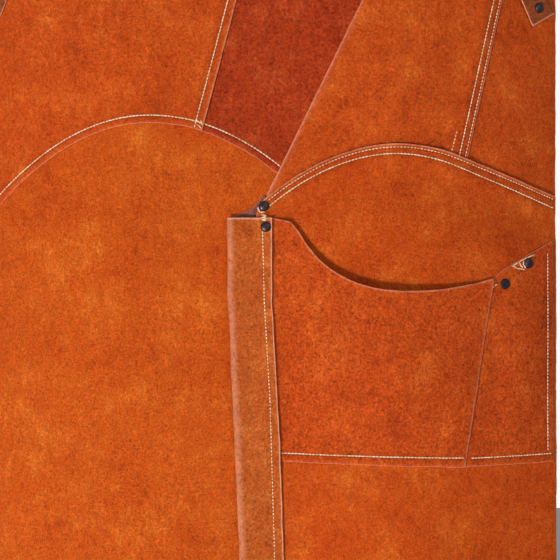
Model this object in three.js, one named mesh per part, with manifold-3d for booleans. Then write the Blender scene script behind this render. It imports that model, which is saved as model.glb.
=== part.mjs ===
// Split-leg welding apron in rust split cowhide, hanging from a rail by its crossed harness straps.
// Millimetres. +Z is up, the outside of the apron faces -Y, and the wearer stands on the +Y side.
// The origin is on top of the rail, midway between the two straps that rest on it.
import * as THREE from 'three';
import { mergeVertices } from 'three/addons/utils/BufferGeometryUtils.js';
import Module from 'manifold-3d';

const wasm = await Module();
wasm.setup();

// ---- cut sizes of the garment ----
const HALF_WIDTH = 320;
const RAIL_TO_BIB = 260;
const BIB_TO_WAIST = 315;
const WAIST_TO_SLIT = 235;
const SLIT_TO_HEM = 520;
const BIB_HALF_WIDTH = 130;
const WAIST_FLAT = 62;
const HEM_CORNER_RADIUS = 60;

// ---- how the hide hangs ----
const FLAT_HALF_WIDTH = 112;
const SIDE_CURL = 62;
const FLUTE_DEPTH = 5;
const FLUTE_SPACING = 210;

// ---- hide, laps and hardware ----
const HIDE = 1.6;
const LAP_GAP = 0.4;
const SEAM_LAP = 15;
const FORM_STEP_X = 24;
const FORM_STEP_Z = 88;
const FACING_WIDTH = 44;
const FACING_RETURN = 30;
const FACING_DROP = 12;
const SLIT_UNDERLAP = 16;
const SLIT_DRIFT = 0.024;
const BIB_HEM = 32;
const POCKET_BULGE = 11;
const SIDE_POCKET_BULGE = 6;
const STRAP_WIDTH = 32;
const STRAP = 2.4;
const STRAP_INSET = 32;
const BIB_STRAP_RISE = 150;
const RAIL_RADIUS = 14;
const RAIL_SPREAD = 46;
const TAB_WIDTH = 34;
const TAB_LEG = 50;
const TAB_LEG_OFFSET = 2.8;
const RIVET_HEAD = 5.6;
const RIVET_SHANK = 1.9;
const RIVET_SIDES = 12;
const WIRE = 2;
const FIT = 0.35;

// ---- levels that follow from the sizes above ----
const BIB_Z = -RAIL_TO_BIB;
const WAIST_Z = BIB_Z - BIB_TO_WAIST;
const SLIT_Z = WAIST_Z - WAIST_TO_SLIT;
const HEM_Z = SLIT_Z - SLIT_TO_HEM;
const PITCH = HIDE + LAP_GAP;

// Thigh seams: arches that fall away from an apex, as height = rise - fall * (x - centre)^2 above the slit,
// and run on straight from straightFrom outwards.
const LEFT_ARCH = { centre: -120, rise: 88, fall: 0.0030, straightFrom: Infinity };
const RIGHT_ARCH = { centre: 143, rise: 66, fall: 0.0029, straightFrom: 205 };
// Slanted seams and edges: x at the slit's level and how far x moves per mm of height.
const LEFT_UP_SEAM = { foot: -86, lean: 0.262 };
const RIGHT_UP_SEAM = { foot: 203, lean: 0.225 };
const FRONT_EDGE = { foot: -3, lean: 0.49 };

const leatherColours = {
  smooth: 0xb85a20,
  coarse: 0x96401c,
  facing: 0xa9602f,
  strap: 0x5a3420,
};
const finishes = {
  smooth: leather(leatherColours.smooth),
  coarse: leather(leatherColours.coarse),
  facing: leather(leatherColours.facing),
  strap: leather(leatherColours.strap),
  gunmetal: metal(0x2c2a2c, 0.35),
  black: metal(0x0a0a0a, 0.6),
  steel: metal(0x8d8d90, 0.3),
};

function leather(color) {
  return new THREE.MeshStandardMaterial({ color, roughness: 0.9, metalness: 0 });
}

function metal(color, roughness) {
  return new THREE.MeshStandardMaterial({ color, roughness, metalness: 1 });
}

const apron = new THREE.Group();

function addMesh(name, geometry, material, parent = apron) {
  const mesh = new THREE.Mesh(geometry, material);
  mesh.name = name;
  parent.add(mesh);
  return mesh;
}

// ---- solids: between three.js geometry and cut solids ----
function toSolid(geometry) {
  const bare = geometry.clone();
  bare.deleteAttribute('normal');
  bare.deleteAttribute('uv');
  const merged = mergeVertices(bare, 1e-4);
  const mesh = new wasm.Mesh({
    numProp: 3,
    vertProperties: new Float32Array(merged.attributes.position.array),
    triVerts: new Uint32Array(merged.index.array),
  });
  return new wasm.Manifold(mesh);
}

function toGeometry(solid) {
  const mesh = solid.getMesh();
  const geometry = new THREE.BufferGeometry();
  geometry.setAttribute('position', new THREE.BufferAttribute(mesh.vertProperties, 3));
  geometry.setIndex(new THREE.BufferAttribute(mesh.triVerts, 1));
  geometry.computeVertexNormals();
  return geometry;
}

// ---- the hanging form: how far each point of the hide lies behind the flat front plane ----
function hangForm(x, z) {
  const beyond = Math.max(0, Math.abs(x) - FLAT_HALF_WIDTH) / (HALF_WIDTH - FLAT_HALF_WIDTH);
  const curl = SIDE_CURL * beyond * beyond;
  const below = Math.max(0, SLIT_Z - z) / SLIT_TO_HEM;
  const flute = FLUTE_DEPTH * below * below * Math.cos((2 * Math.PI * (x - 40)) / FLUTE_SPACING);
  return curl + flute;
}

function formSlope(x) {
  return (hangForm(x + 0.5, WAIST_Z) - hangForm(x - 0.5, WAIST_Z));
}

// A stretch of hide between two depths in front of the form, over a grid that every piece shares.
function hideGrid(low, high, backDepth, frontDepth) {
  const xs = stations(low.x, high.x, FORM_STEP_X);
  const zs = stations(low.y, high.y, FORM_STEP_Z);
  const positions = [];
  for (const depth of [frontDepth, backDepth]) {
    for (const x of xs) {
      for (const z of zs) positions.push(x, hangForm(x, z) - depth(x, z), z);
    }
  }
  const geometry = new THREE.BufferGeometry();
  geometry.setAttribute('position', new THREE.Float32BufferAttribute(positions, 3));
  geometry.setIndex(slabFaces(xs.length, zs.length));
  return toSolid(geometry);
}

function stations(low, high, step) {
  const marks = [];
  for (let k = Math.floor(low / step) - 1; k * step < high + step; k += 1) marks.push(k * step);
  return marks;
}

function slabFaces(across, up) {
  const faces = [];
  const front = (i, j) => i * up + j;
  const back = (i, j) => across * up + i * up + j;
  const quad = (a, b, c, d) => faces.push(a, b, c, a, c, d);
  for (let i = 0; i + 1 < across; i += 1) {
    for (let j = 0; j + 1 < up; j += 1) {
      quad(front(i, j), front(i + 1, j), front(i + 1, j + 1), front(i, j + 1));
      faces.push(back(i, j), back(i + 1, j + 1), back(i + 1, j));
      faces.push(back(i, j), back(i, j + 1), back(i + 1, j + 1));
    }
    quad(front(i, 0), back(i, 0), back(i + 1, 0), front(i + 1, 0));
    quad(front(i, up - 1), front(i + 1, up - 1), back(i + 1, up - 1), back(i, up - 1));
  }
  for (let j = 0; j + 1 < up; j += 1) {
    quad(front(0, j), front(0, j + 1), back(0, j + 1), back(0, j));
    quad(front(across - 1, j), back(across - 1, j), back(across - 1, j + 1), front(across - 1, j + 1));
  }
  return faces;
}

// A prism through the apron, from an outline drawn in its front view (x across, z up).
function prism(outline, near = -200, far = 200) {
  const geometry = new THREE.ExtrudeGeometry(outline, {
    depth: far - near,
    bevelEnabled: false,
    curveSegments: 20,
  });
  geometry.rotateX(Math.PI / 2);
  geometry.translate(0, far, 0);
  return toSolid(geometry);
}

function polygon(points) {
  return new THREE.Shape(points.map(([x, z]) => new THREE.Vector2(x, z)));
}

// One ply of hide, counted outwards from the wearer, with an optional bulge away from the form.
function ply(outline, level, bulge = () => 0) {
  const box = new THREE.Box2().setFromPoints(outline.getPoints(20));
  const back = (x, z) => level * PITCH + bulge(x, z);
  const front = (x, z) => back(x, z) + HIDE;
  return hideGrid(box.min, box.max, back, front).intersect(prism(outline));
}

function archHeight(arch, x) {
  const bent = Math.min(x, arch.straightFrom);
  const run = bent - arch.centre;
  return SLIT_Z + arch.rise - arch.fall * run * run - 2 * arch.fall * run * (x - bent);
}

function followArch(outline, arch, fromX, toX, lift = 0) {
  const start = Math.min(fromX, arch.straightFrom);
  const finish = Math.min(toX, arch.straightFrom);
  const middle = SLIT_Z + arch.rise - arch.fall * (start - arch.centre) * (finish - arch.centre);
  outline.lineTo(start, archHeight(arch, start) + lift);
  outline.quadraticCurveTo((start + finish) / 2, middle + lift, finish, archHeight(arch, finish) + lift);
  outline.lineTo(toX, archHeight(arch, toX) + lift);
}

function seamX(seam, z) {
  return seam.foot + seam.lean * (z - SLIT_Z);
}

function slitX(z) {
  return SLIT_DRIFT * (SLIT_Z - z);
}

// The whole apron's edge: rounded hem corners, straight sides, hollowed armholes and a flat bib top.
function silhouette(top = BIB_Z) {
  const edge = new THREE.Shape();
  const inner = HALF_WIDTH - HEM_CORNER_RADIUS;
  const armhole = HALF_WIDTH - WAIST_FLAT;
  edge.moveTo(-inner, HEM_Z);
  edge.lineTo(inner, HEM_Z);
  edge.absarc(inner, HEM_Z + HEM_CORNER_RADIUS, HEM_CORNER_RADIUS, -Math.PI / 2, 0, false);
  edge.lineTo(HALF_WIDTH, WAIST_Z);
  edge.lineTo(armhole, WAIST_Z);
  edge.quadraticCurveTo(BIB_HALF_WIDTH + 6, WAIST_Z + 26, BIB_HALF_WIDTH, top);
  edge.lineTo(-BIB_HALF_WIDTH, top);
  edge.quadraticCurveTo(-BIB_HALF_WIDTH - 6, WAIST_Z + 26, -armhole, WAIST_Z);
  edge.lineTo(-HALF_WIDTH, WAIST_Z);
  edge.absarc(-inner, HEM_Z + HEM_CORNER_RADIUS, HEM_CORNER_RADIUS, Math.PI, 1.5 * Math.PI, false);
  return edge;
}

const PANEL_TOP = BIB_Z - HIDE - LAP_GAP;
const apronEdge = prism(silhouette(PANEL_TOP));
const SIDE = HALF_WIDTH + 20;

// ---- rivets: a domed cap with its shank at the front, a burr at the back ----
function rivetFrame(x, z, frontPly, extra = 0) {
  const front = hangForm(x, z) - (frontPly * PITCH + HIDE + extra);
  const slope = formSlope(x);
  const along = new THREE.Vector3(1, slope, 0).normalize();
  const up = new THREE.Vector3(0, 0, 1);
  const inward = new THREE.Vector3().crossVectors(up, along);
  const frame = new THREE.Matrix4().makeBasis(along, inward, up);
  frame.setPosition(x, front, z);
  return frame;
}

function capProfile(grip) {
  const points = [new THREE.Vector2(0, -3.1)];
  for (let k = 1; k <= 4; k += 1) {
    const turn = (k / 4) * (Math.PI / 2);
    points.push(new THREE.Vector2(RIVET_HEAD * Math.sin(turn), -1 - 2.1 * Math.cos(turn)));
  }
  points.push(new THREE.Vector2(RIVET_HEAD, -FIT));
  points.push(new THREE.Vector2(RIVET_SHANK, -FIT));
  points.push(new THREE.Vector2(RIVET_SHANK, grip + 1.8));
  points.push(new THREE.Vector2(0, grip + 1.8));
  return points;
}

function burrProfile(grip) {
  const bore = RIVET_SHANK + 0.1;
  return [
    new THREE.Vector2(bore, grip + FIT),
    new THREE.Vector2(RIVET_HEAD - 0.8, grip + FIT),
    new THREE.Vector2(RIVET_HEAD - 1.4, grip + 1.5),
    new THREE.Vector2(bore, grip + 1.5),
    new THREE.Vector2(bore, grip + FIT),
  ];
}

function place(geometry, frame) {
  return geometry.applyMatrix4(frame);
}

const punches = [];

// Local +Y of the frame points through the hide towards the wearer, from the front face of the stack.
function addRivet(name, frame, grip, material = finishes.gunmetal) {
  const cap = new THREE.LatheGeometry(capProfile(grip), RIVET_SIDES);
  const burr = new THREE.LatheGeometry(burrProfile(grip), RIVET_SIDES);
  addMesh(`${name}_cap`, place(cap, frame), material);
  addMesh(`${name}_burr`, place(burr, frame), material);
  const punch = new THREE.CylinderGeometry(RIVET_SHANK + FIT, RIVET_SHANK + FIT, grip + 12, RIVET_SIDES);
  punch.translate(0, grip / 2, 0);
  punches.push(toSolid(place(punch, frame)));
}

function punched(solid) {
  return punches.reduce((hide, punch) => hide.subtract(punch), solid);
}

// ---- body panels ----
function leftLegOutline() {
  const outline = new THREE.Shape();
  outline.moveTo(-SIDE, HEM_Z - 20);
  outline.lineTo(slitX(HEM_Z) + SLIT_UNDERLAP, HEM_Z - 20);
  outline.lineTo(SLIT_UNDERLAP, SLIT_Z);
  outline.lineTo(SLIT_UNDERLAP, archHeight(LEFT_ARCH, SLIT_UNDERLAP) + SEAM_LAP);
  followArch(outline, LEFT_ARCH, SLIT_UNDERLAP, -SIDE, SEAM_LAP);
  return outline;
}

function rightLegOutline() {
  const outline = new THREE.Shape();
  const inner = (z) => slitX(z) - FACING_WIDTH + 8 + HIDE + LAP_GAP;
  const corner = -5;
  outline.moveTo(inner(HEM_Z), HEM_Z - 20);
  outline.lineTo(SIDE, HEM_Z - 20);
  outline.lineTo(SIDE, archHeight(RIGHT_ARCH, SIDE));
  followArch(outline, RIGHT_ARCH, SIDE, corner);
  outline.lineTo(-9, SLIT_Z - 3);
  outline.lineTo(inner(SLIT_Z), SLIT_Z - FACING_DROP + 2);
  return outline;
}

function leftUpperOutline() {
  const outline = new THREE.Shape();
  const seamFoot = -64;
  const top = PANEL_TOP + 10;
  outline.moveTo(-SIDE, archHeight(LEFT_ARCH, -SIDE));
  followArch(outline, LEFT_ARCH, -SIDE, seamFoot);
  outline.lineTo(seamX(LEFT_UP_SEAM, top), top);
  outline.lineTo(-SIDE, top);
  return outline;
}

function centreOutline() {
  const outline = new THREE.Shape();
  const underFront = SEAM_LAP + 4;
  const start = -64 - SEAM_LAP;
  const finish = seamX(FRONT_EDGE, SLIT_Z + 34) + underFront;
  const top = PANEL_TOP + 10;
  outline.moveTo(start, archHeight(LEFT_ARCH, start));
  followArch(outline, LEFT_ARCH, start, finish);
  outline.lineTo(seamX(FRONT_EDGE, top) + underFront, top);
  outline.lineTo(seamX(LEFT_UP_SEAM, top) - SEAM_LAP, top);
  return outline;
}

function rightUpperOutline() {
  const outline = new THREE.Shape();
  const startX = seamX(FRONT_EDGE, SLIT_Z + 2);
  const endX = seamX(RIGHT_UP_SEAM, archHeight(RIGHT_ARCH, RIGHT_UP_SEAM.foot) - SEAM_LAP);
  outline.moveTo(startX, SLIT_Z - 10);
  outline.lineTo(20, archHeight(RIGHT_ARCH, 20) - SEAM_LAP);
  followArch(outline, RIGHT_ARCH, 20, endX, -SEAM_LAP);
  outline.lineTo(seamX(RIGHT_UP_SEAM, WAIST_Z + 200), WAIST_Z + 200);
  outline.lineTo(seamX(FRONT_EDGE, PANEL_TOP + 10), PANEL_TOP + 10);
  outline.lineTo(startX, SLIT_Z + 2);
  return outline;
}

function rightSideOutline() {
  const outline = new THREE.Shape();
  const footZ = archHeight(RIGHT_ARCH, RIGHT_UP_SEAM.foot) - SEAM_LAP;
  const startX = seamX(RIGHT_UP_SEAM, footZ) - SEAM_LAP;
  outline.moveTo(startX, archHeight(RIGHT_ARCH, startX) - SEAM_LAP);
  followArch(outline, RIGHT_ARCH, startX, SIDE, -SEAM_LAP);
  outline.lineTo(SIDE, WAIST_Z + 200);
  outline.lineTo(seamX(RIGHT_UP_SEAM, WAIST_Z + 200) - SEAM_LAP, WAIST_Z + 200);
  return outline;
}

// ---- slit pieces ----
function facingStrip(left, right) {
  const top = SLIT_Z - FACING_DROP;
  return polygon([
    [slitX(HEM_Z) + left, HEM_Z - 20],
    [slitX(HEM_Z) + right, HEM_Z - 20],
    [slitX(top) + right, top],
    [slitX(top) + left, top],
  ]);
}

// The slit's facing is folded round the right leg's inner edge: front flange, fold and short return.
function slitFacing() {
  const left = -FACING_WIDTH + 8;
  const front = ply(facingStrip(left, 8), 6);
  const back = ply(facingStrip(left, left + FACING_RETURN), 2);
  const box = new THREE.Box2().setFromPoints(facingStrip(left, left + HIDE).getPoints());
  const fold = hideGrid(box.min, box.max, () => 2 * PITCH, () => 6 * PITCH + HIDE)
    .intersect(prism(facingStrip(left, left + HIDE)));
  return front.add(back).add(fold);
}

function underlapFacing() {
  return ply(facingStrip(SLIT_UNDERLAP - 30, SLIT_UNDERLAP), -1);
}

function slitReinforcement() {
  return ply(polygon([
    [-38, SLIT_Z - 13],
    [14, SLIT_Z - 30],
    [14, SLIT_Z + 10],
    [-2, SLIT_Z + 10],
    [-14, SLIT_Z - 2],
  ]), 1);
}

// ---- pockets ----
const POCKET_LEFT = 2;
const POCKET_CORNER = { x: 285.5, drop: 59.5, swell: 1.2 };
const POCKET_STUD = { x: 257.5, drop: 82, swell: 1.4 };
const RIVET_SLACK = 0.6;
const POCKET_FOLD_TOP = { x: 245, drop: 76 };
const POCKET_FOLD_FOOT = { x: 213, drop: 268 };
const POCKET_BOTTOM_LEFT_DROP = 268;
const POCKET_BOTTOM_DROP = 276;

function pocketFrontOutline() {
  const mouth = new THREE.Shape();
  mouth.moveTo(POCKET_LEFT, SLIT_Z - POCKET_BOTTOM_LEFT_DROP);
  mouth.lineTo(POCKET_FOLD_FOOT.x, SLIT_Z - POCKET_BOTTOM_DROP);
  mouth.lineTo(POCKET_FOLD_TOP.x, SLIT_Z - POCKET_FOLD_TOP.drop);
  mouth.quadraticCurveTo(190, SLIT_Z - 91, 143, SLIT_Z - 89);
  mouth.bezierCurveTo(95, SLIT_Z - 88, 62, SLIT_Z - 66, 46, SLIT_Z - 42);
  mouth.quadraticCurveTo(36, SLIT_Z - 26, 30, SLIT_Z - 18);
  mouth.lineTo(POCKET_LEFT, SLIT_Z - FACING_DROP);
  return mouth;
}

function pocketSideOutline() {
  const inner = 20;
  const outline = new THREE.Shape();
  outline.moveTo(POCKET_FOLD_FOOT.x - inner, SLIT_Z - POCKET_BOTTOM_DROP);
  outline.lineTo(HALF_WIDTH - 4, SLIT_Z - POCKET_BOTTOM_DROP);
  outline.lineTo(HALF_WIDTH - 4, SLIT_Z - 34);
  outline.quadraticCurveTo(286, SLIT_Z - 50, 262, SLIT_Z - 70);
  outline.quadraticCurveTo(254, SLIT_Z - 80, POCKET_FOLD_TOP.x - inner, SLIT_Z - 96);
  return outline;
}

// Zero on the sewn edges and round in the middle. An open mouth keeps the middle's depth.
function bulge(height, left, right, foot, mouth, open) {
  return (x, z) => {
    const across = THREE.MathUtils.clamp((x - left) / (right - left), 0, 1);
    const up = THREE.MathUtils.clamp((z - foot) / (mouth - foot), 0, 1);
    const rise = open ? Math.sin((Math.PI / 2) * Math.min(1, up * 1.6)) : Math.sin(Math.PI * up);
    return height * Math.sin(Math.PI * across) * rise;
  };
}

const pocketFoot = SLIT_Z - POCKET_BOTTOM_DROP;
const pocketBulge = bulge(POCKET_BULGE, 30, POCKET_FOLD_TOP.x - 13, pocketFoot + 6, SLIT_Z - 80, true);
const sidePocketBulge = bulge(SIDE_POCKET_BULGE, 250, HALF_WIDTH - 8, pocketFoot + 6, SLIT_Z - 62, false);

// ---- bib hem: a strip folded over the bib's top edge ----
function bibHem() {
  const strip = (top, bottom) => polygon([
    [-BIB_HALF_WIDTH, bottom],
    [BIB_HALF_WIDTH, bottom],
    [BIB_HALF_WIDTH, top],
    [-BIB_HALF_WIDTH, top],
  ]);
  const front = ply(strip(BIB_Z, BIB_Z - BIB_HEM), 3);
  const back = ply(strip(BIB_Z, BIB_Z - BIB_HEM), 0);
  const low = new THREE.Vector2(-BIB_HALF_WIDTH, BIB_Z - HIDE);
  const high = new THREE.Vector2(BIB_HALF_WIDTH, BIB_Z);
  const fold = hideGrid(low, high, () => 0, () => 3 * PITCH + HIDE)
    .intersect(prism(strip(BIB_Z, BIB_Z - HIDE)));
  return front.add(back).add(fold);
}

// ---- straps as ribbons: a centre line with a width direction at every station ----
function ribbon(samples, width, thickness) {
  const positions = [];
  samples.forEach(({ point, across }, k) => {
    const before = samples[Math.max(0, k - 1)].point;
    const after = samples[Math.min(samples.length - 1, k + 1)].point;
    const tangent = after.clone().sub(before).normalize();
    const flat = across.clone().addScaledVector(tangent, -across.dot(tangent)).normalize();
    const normal = new THREE.Vector3().crossVectors(tangent, flat);
    for (const [u, v] of [[-1, -1], [1, -1], [1, 1], [-1, 1]]) {
      const corner = point.clone()
        .addScaledVector(flat, (u * width) / 2)
        .addScaledVector(normal, (v * thickness) / 2);
      positions.push(corner.x, corner.y, corner.z);
    }
  });
  const faces = [0, 2, 1, 0, 3, 2];
  for (let k = 0; k + 1 < samples.length; k += 1) {
    for (let side = 0; side < 4; side += 1) {
      const a = 4 * k + side;
      const b = 4 * k + ((side + 1) % 4);
      faces.push(a, b, b + 4, a, b + 4, a + 4);
    }
  }
  const end = 4 * (samples.length - 1);
  faces.push(end, end + 1, end + 2, end, end + 2, end + 3);
  const geometry = new THREE.BufferGeometry();
  geometry.setAttribute('position', new THREE.Float32BufferAttribute(positions, 3));
  geometry.setIndex(faces);
  return toSolid(geometry);
}

// A piece of strap folded in its own YZ plane, from a centre line of [y, z] points.
function foldedStrap(line, thickness, width) {
  const left = [];
  const right = [];
  line.forEach(([y, z], k) => {
    const [y0, z0] = line[Math.max(0, k - 1)];
    const [y1, z1] = line[Math.min(line.length - 1, k + 1)];
    const length = Math.hypot(y1 - y0, z1 - z0);
    const ny = ((z1 - z0) / length) * (thickness / 2);
    const nz = (-(y1 - y0) / length) * (thickness / 2);
    left.push(new THREE.Vector2(y + ny, z + nz));
    right.unshift(new THREE.Vector2(y - ny, z - nz));
  });
  const geometry = new THREE.ExtrudeGeometry(new THREE.Shape([...left, ...right]), {
    depth: width,
    bevelEnabled: false,
  });
  geometry.translate(0, 0, -width / 2);
  const turn = new THREE.Matrix4().makeBasis(
    new THREE.Vector3(0, 1, 0),
    new THREE.Vector3(0, 0, 1),
    new THREE.Vector3(1, 0, 0),
  );
  return geometry.applyMatrix4(turn);
}

// ---- harness: bib strap, adjuster and long strap over the rail to the other side's waist corner ----
const BIB_STRAP_PLY = 4;
const bibStrapDepth = BIB_STRAP_PLY * PITCH + STRAP / 2;
const longStrapDepth = bibStrapDepth + STRAP + LAP_GAP;
const railBend = RAIL_RADIUS + STRAP / 2;
const railY = railBend - longStrapDepth;

function frontLine(side) {
  const foot = new THREE.Vector3(side * (BIB_HALF_WIDTH - STRAP_INSET), 0, BIB_Z);
  const top = new THREE.Vector3(side * RAIL_SPREAD, 0, -RAIL_RADIUS);
  const along = top.clone().sub(foot).normalize();
  const across = new THREE.Vector3(along.z, 0, -along.x);
  return { foot, top, along, across };
}

function bibStrap(side) {
  const { foot, along, across } = frontLine(side);
  const samples = [-BIB_HEM - 14, BIB_STRAP_RISE].map((distance) => ({
    point: foot.clone().addScaledVector(along, distance).setY(-bibStrapDepth),
    across,
  }));
  return ribbon(samples, STRAP_WIDTH, STRAP);
}

// Where a strap that crosses to this waist corner leaves the rail at the back.
function railRear(waistSide) {
  return new THREE.Vector3(-waistSide * RAIL_SPREAD, railY + railBend, -RAIL_RADIUS);
}

// The waist corner's frame: the ring's lower bar lies along x, and z runs up the strap.
function waistFrames(side) {
  const x = side * (HALF_WIDTH - WAIST_FLAT / 2);
  const panelPly = side < 0 ? 2 : 1;
  const depth = panelPly * PITCH + HIDE / 2;
  const corner = new THREE.Vector3(x, hangForm(x, WAIST_Z) - depth, WAIST_Z);
  const inward = new THREE.Vector3(-formSlope(x), 1, 0).normalize();
  const rail = railRear(side);
  const across = new THREE.Vector3().crossVectors(inward, rail.clone().sub(corner)).normalize();
  const upTab = new THREE.Vector3().crossVectors(across, inward);
  const bar = corner.clone().addScaledVector(upTab, RING_ABOVE_EDGE);
  const upHook = rail.clone().sub(bar);
  upHook.addScaledVector(across, -upHook.dot(across)).normalize();
  const hookIn = new THREE.Vector3().crossVectors(upHook, across);
  const tab = new THREE.Matrix4().makeBasis(across, inward, upTab).setPosition(bar);
  const hook = new THREE.Matrix4().makeBasis(across, hookIn, upHook).setPosition(bar);
  return { tab, hook, across, upHook, bar };
}

const RING_ABOVE_EDGE = 17;
const RING_RISE = 20;
const EYE_RISE = RING_RISE + 48;

function railSamples(side, fromAcross, toAcross) {
  const samples = [];
  const steps = 10;
  for (let k = 0; k <= steps; k += 1) {
    const share = k / steps;
    const turn = Math.PI * (1 - share);
    samples.push({
      point: new THREE.Vector3(
        side * RAIL_SPREAD,
        railY + railBend * Math.cos(turn),
        -RAIL_RADIUS + railBend * Math.sin(turn),
      ),
      across: fromAcross.clone().lerp(toAcross, share),
    });
  }
  return samples;
}

// Down the back to the eye. The two straps cross on the way, the left one nearer the wearer's front.
function rearSamples(side, top, eye, topAcross, eyeAcross) {
  const samples = [];
  const steps = 14;
  const run = top.x - eye.x;
  for (let k = 1; k < steps; k += 1) {
    const share = k / steps;
    const point = top.clone().lerp(eye, share);
    const fromCross = Math.abs(point.x) / Math.abs(run);
    const clear = THREE.MathUtils.clamp(2 * (1 - fromCross / 0.3), 0, 1);
    point.y += side * ((STRAP + 3 * LAP_GAP) / 2) * clear * clear * (3 - 2 * clear);
    const twist = Math.max(0, (share - 0.35) / 0.65);
    samples.push({ point, across: topAcross.clone().lerp(eyeAcross, twist) });
  }
  return samples;
}

// The long strap: up from its bib corner, over the rail, down to the hook's eye, round it and back.
function longStrapSamples(side) {
  const { foot, along, across } = frontLine(side);
  const waist = waistFrames(-side);
  const eye = waist.bar.clone().addScaledVector(waist.upHook, EYE_RISE);
  const eyeAcross = waist.across;
  const onFront = (distance) => foot.clone().addScaledVector(along, distance).setY(-longStrapDepth);
  const rear = railRear(-side);
  const approach = eye.clone().addScaledVector(waist.upHook, 60);
  const down = approach.clone().sub(rear).setY(0).normalize();
  const rearAcross = new THREE.Vector3(-down.z, 0, down.x);
  return [
    { point: onFront(18), across },
    { point: onFront(BIB_STRAP_RISE), across },
    ...railSamples(side, across, rearAcross),
    ...rearSamples(side, rear, approach, rearAcross, eyeAcross),
    ...eyeLoop(waist, eye, eyeAcross),
  ];
}

function eyeLoop(waist, eye, across) {
  const normal = new THREE.Vector3().crossVectors(waist.upHook, waist.across);
  const bend = WIRE + FIT + STRAP / 2;
  const at = (y, z) => eye.clone().addScaledVector(normal, y).addScaledVector(waist.upHook, z);
  const back = STRAP / 2 + LAP_GAP / 2;
  const samples = [
    { point: at(back, 60), across },
    { point: at(back, 11), across },
    { point: at(bend, 3), across },
  ];
  for (let k = 0; k <= 8; k += 1) {
    const turn = (Math.PI * k) / 8;
    samples.push({ point: at(bend * Math.cos(turn), -bend * Math.sin(turn)), across });
  }
  samples.push({ point: at(-bend, 3), across });
  samples.push({ point: at(-back, 11), across });
  samples.push({ point: at(-back, 46), across });
  return samples;
}

// ---- wire and plate hardware, each drawn in its own frame ----
function roundedRectangle(halfX, low, high, radius) {
  const shape = new THREE.Shape();
  shape.moveTo(-halfX + radius, low);
  shape.lineTo(halfX - radius, low);
  shape.absarc(halfX - radius, low + radius, radius, -Math.PI / 2, 0, false);
  shape.absarc(halfX - radius, high - radius, radius, 0, Math.PI / 2, false);
  shape.absarc(-halfX + radius, high - radius, radius, Math.PI / 2, Math.PI, false);
  shape.absarc(-halfX + radius, low + radius, radius, Math.PI, 1.5 * Math.PI, false);
  return shape;
}

// A welded wire loop: a round section carried round a closed plane curve in the XZ plane.
function wireLoop(outline, radius, sides = 8) {
  const points = outline.getPoints(3).slice(0, -1);
  const unique = points.filter((p, k) => p.distanceTo(points[(k + points.length - 1) % points.length]) > 1e-3);
  const positions = [];
  unique.forEach((p, k) => {
    const before = unique[(k + unique.length - 1) % unique.length];
    const after = unique[(k + 1) % unique.length];
    const tangent = after.clone().sub(before).normalize();
    for (let s = 0; s < sides; s += 1) {
      const turn = (2 * Math.PI * s) / sides;
      const out = radius * Math.cos(turn);
      positions.push(p.x + tangent.y * out, radius * Math.sin(turn), p.y - tangent.x * out);
    }
  });
  const faces = [];
  for (let k = 0; k < unique.length; k += 1) {
    for (let s = 0; s < sides; s += 1) {
      const a = k * sides + s;
      const b = k * sides + ((s + 1) % sides);
      const next = ((k + 1) % unique.length) * sides;
      const c = next + ((s + 1) % sides);
      const d = next + s;
      faces.push(a, b, c, a, c, d);
    }
  }
  const geometry = new THREE.BufferGeometry();
  geometry.setAttribute('position', new THREE.Float32BufferAttribute(positions, 3));
  geometry.setIndex(faces);
  return geometry;
}

function plateAlongX(outline, width) {
  const geometry = new THREE.ExtrudeGeometry(outline, { depth: width, bevelEnabled: false, curveSegments: 5 });
  geometry.translate(0, 0, -width / 2);
  const turn = new THREE.Matrix4().makeBasis(
    new THREE.Vector3(0, 1, 0),
    new THREE.Vector3(0, 0, 1),
    new THREE.Vector3(1, 0, 0),
  );
  return geometry.applyMatrix4(turn);
}

function bar(radius, length, along) {
  const geometry = new THREE.CylinderGeometry(radius, radius, length, 12);
  if (along === 'x') geometry.rotateZ(Math.PI / 2);
  if (along === 'z') geometry.rotateX(Math.PI / 2);
  return geometry;
}

// Snap hook: a plate J that takes the ring, closed by a sprung gate, under a wire eye for the strap.
const HOOK_PLATE = 7;
const HOOK_WIDE = 5.4;
const HOOK_WALL = 3.4;
const GATE_WIDTH = 3.2;
const GATE_PIVOT_RISE = RING_RISE + 24;
const GATE_PIVOT_Y = -(HOOK_WIDE + HOOK_WALL / 2);
const GATE_PIN = 1;
const NOSE_RISE = RING_RISE + 5;
const BRIDGE_RISE = RING_RISE + 28;

function hookOutline() {
  const inner = HOOK_WIDE;
  const outer = HOOK_WIDE + HOOK_WALL;
  const shape = new THREE.Shape();
  shape.moveTo(-inner, NOSE_RISE);
  shape.lineTo(-outer, NOSE_RISE);
  shape.lineTo(-outer, RING_RISE + 2);
  shape.absarc(0, RING_RISE + 2, outer, Math.PI, 2 * Math.PI, false);
  shape.lineTo(outer, BRIDGE_RISE + 4);
  shape.lineTo(4, EYE_RISE - 5);
  shape.lineTo(-4, EYE_RISE - 5);
  shape.lineTo(-outer - 1, BRIDGE_RISE + 4);
  shape.lineTo(-outer - 1, GATE_PIVOT_RISE - 3);
  shape.lineTo(-inner + 0.5, GATE_PIVOT_RISE - 3);
  shape.lineTo(-inner + 0.5, BRIDGE_RISE - 1);
  shape.lineTo(inner, BRIDGE_RISE - 1);
  shape.lineTo(inner, RING_RISE + 2);
  shape.absarc(0, RING_RISE + 2, inner, 0, Math.PI, true);
  return shape;
}

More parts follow.
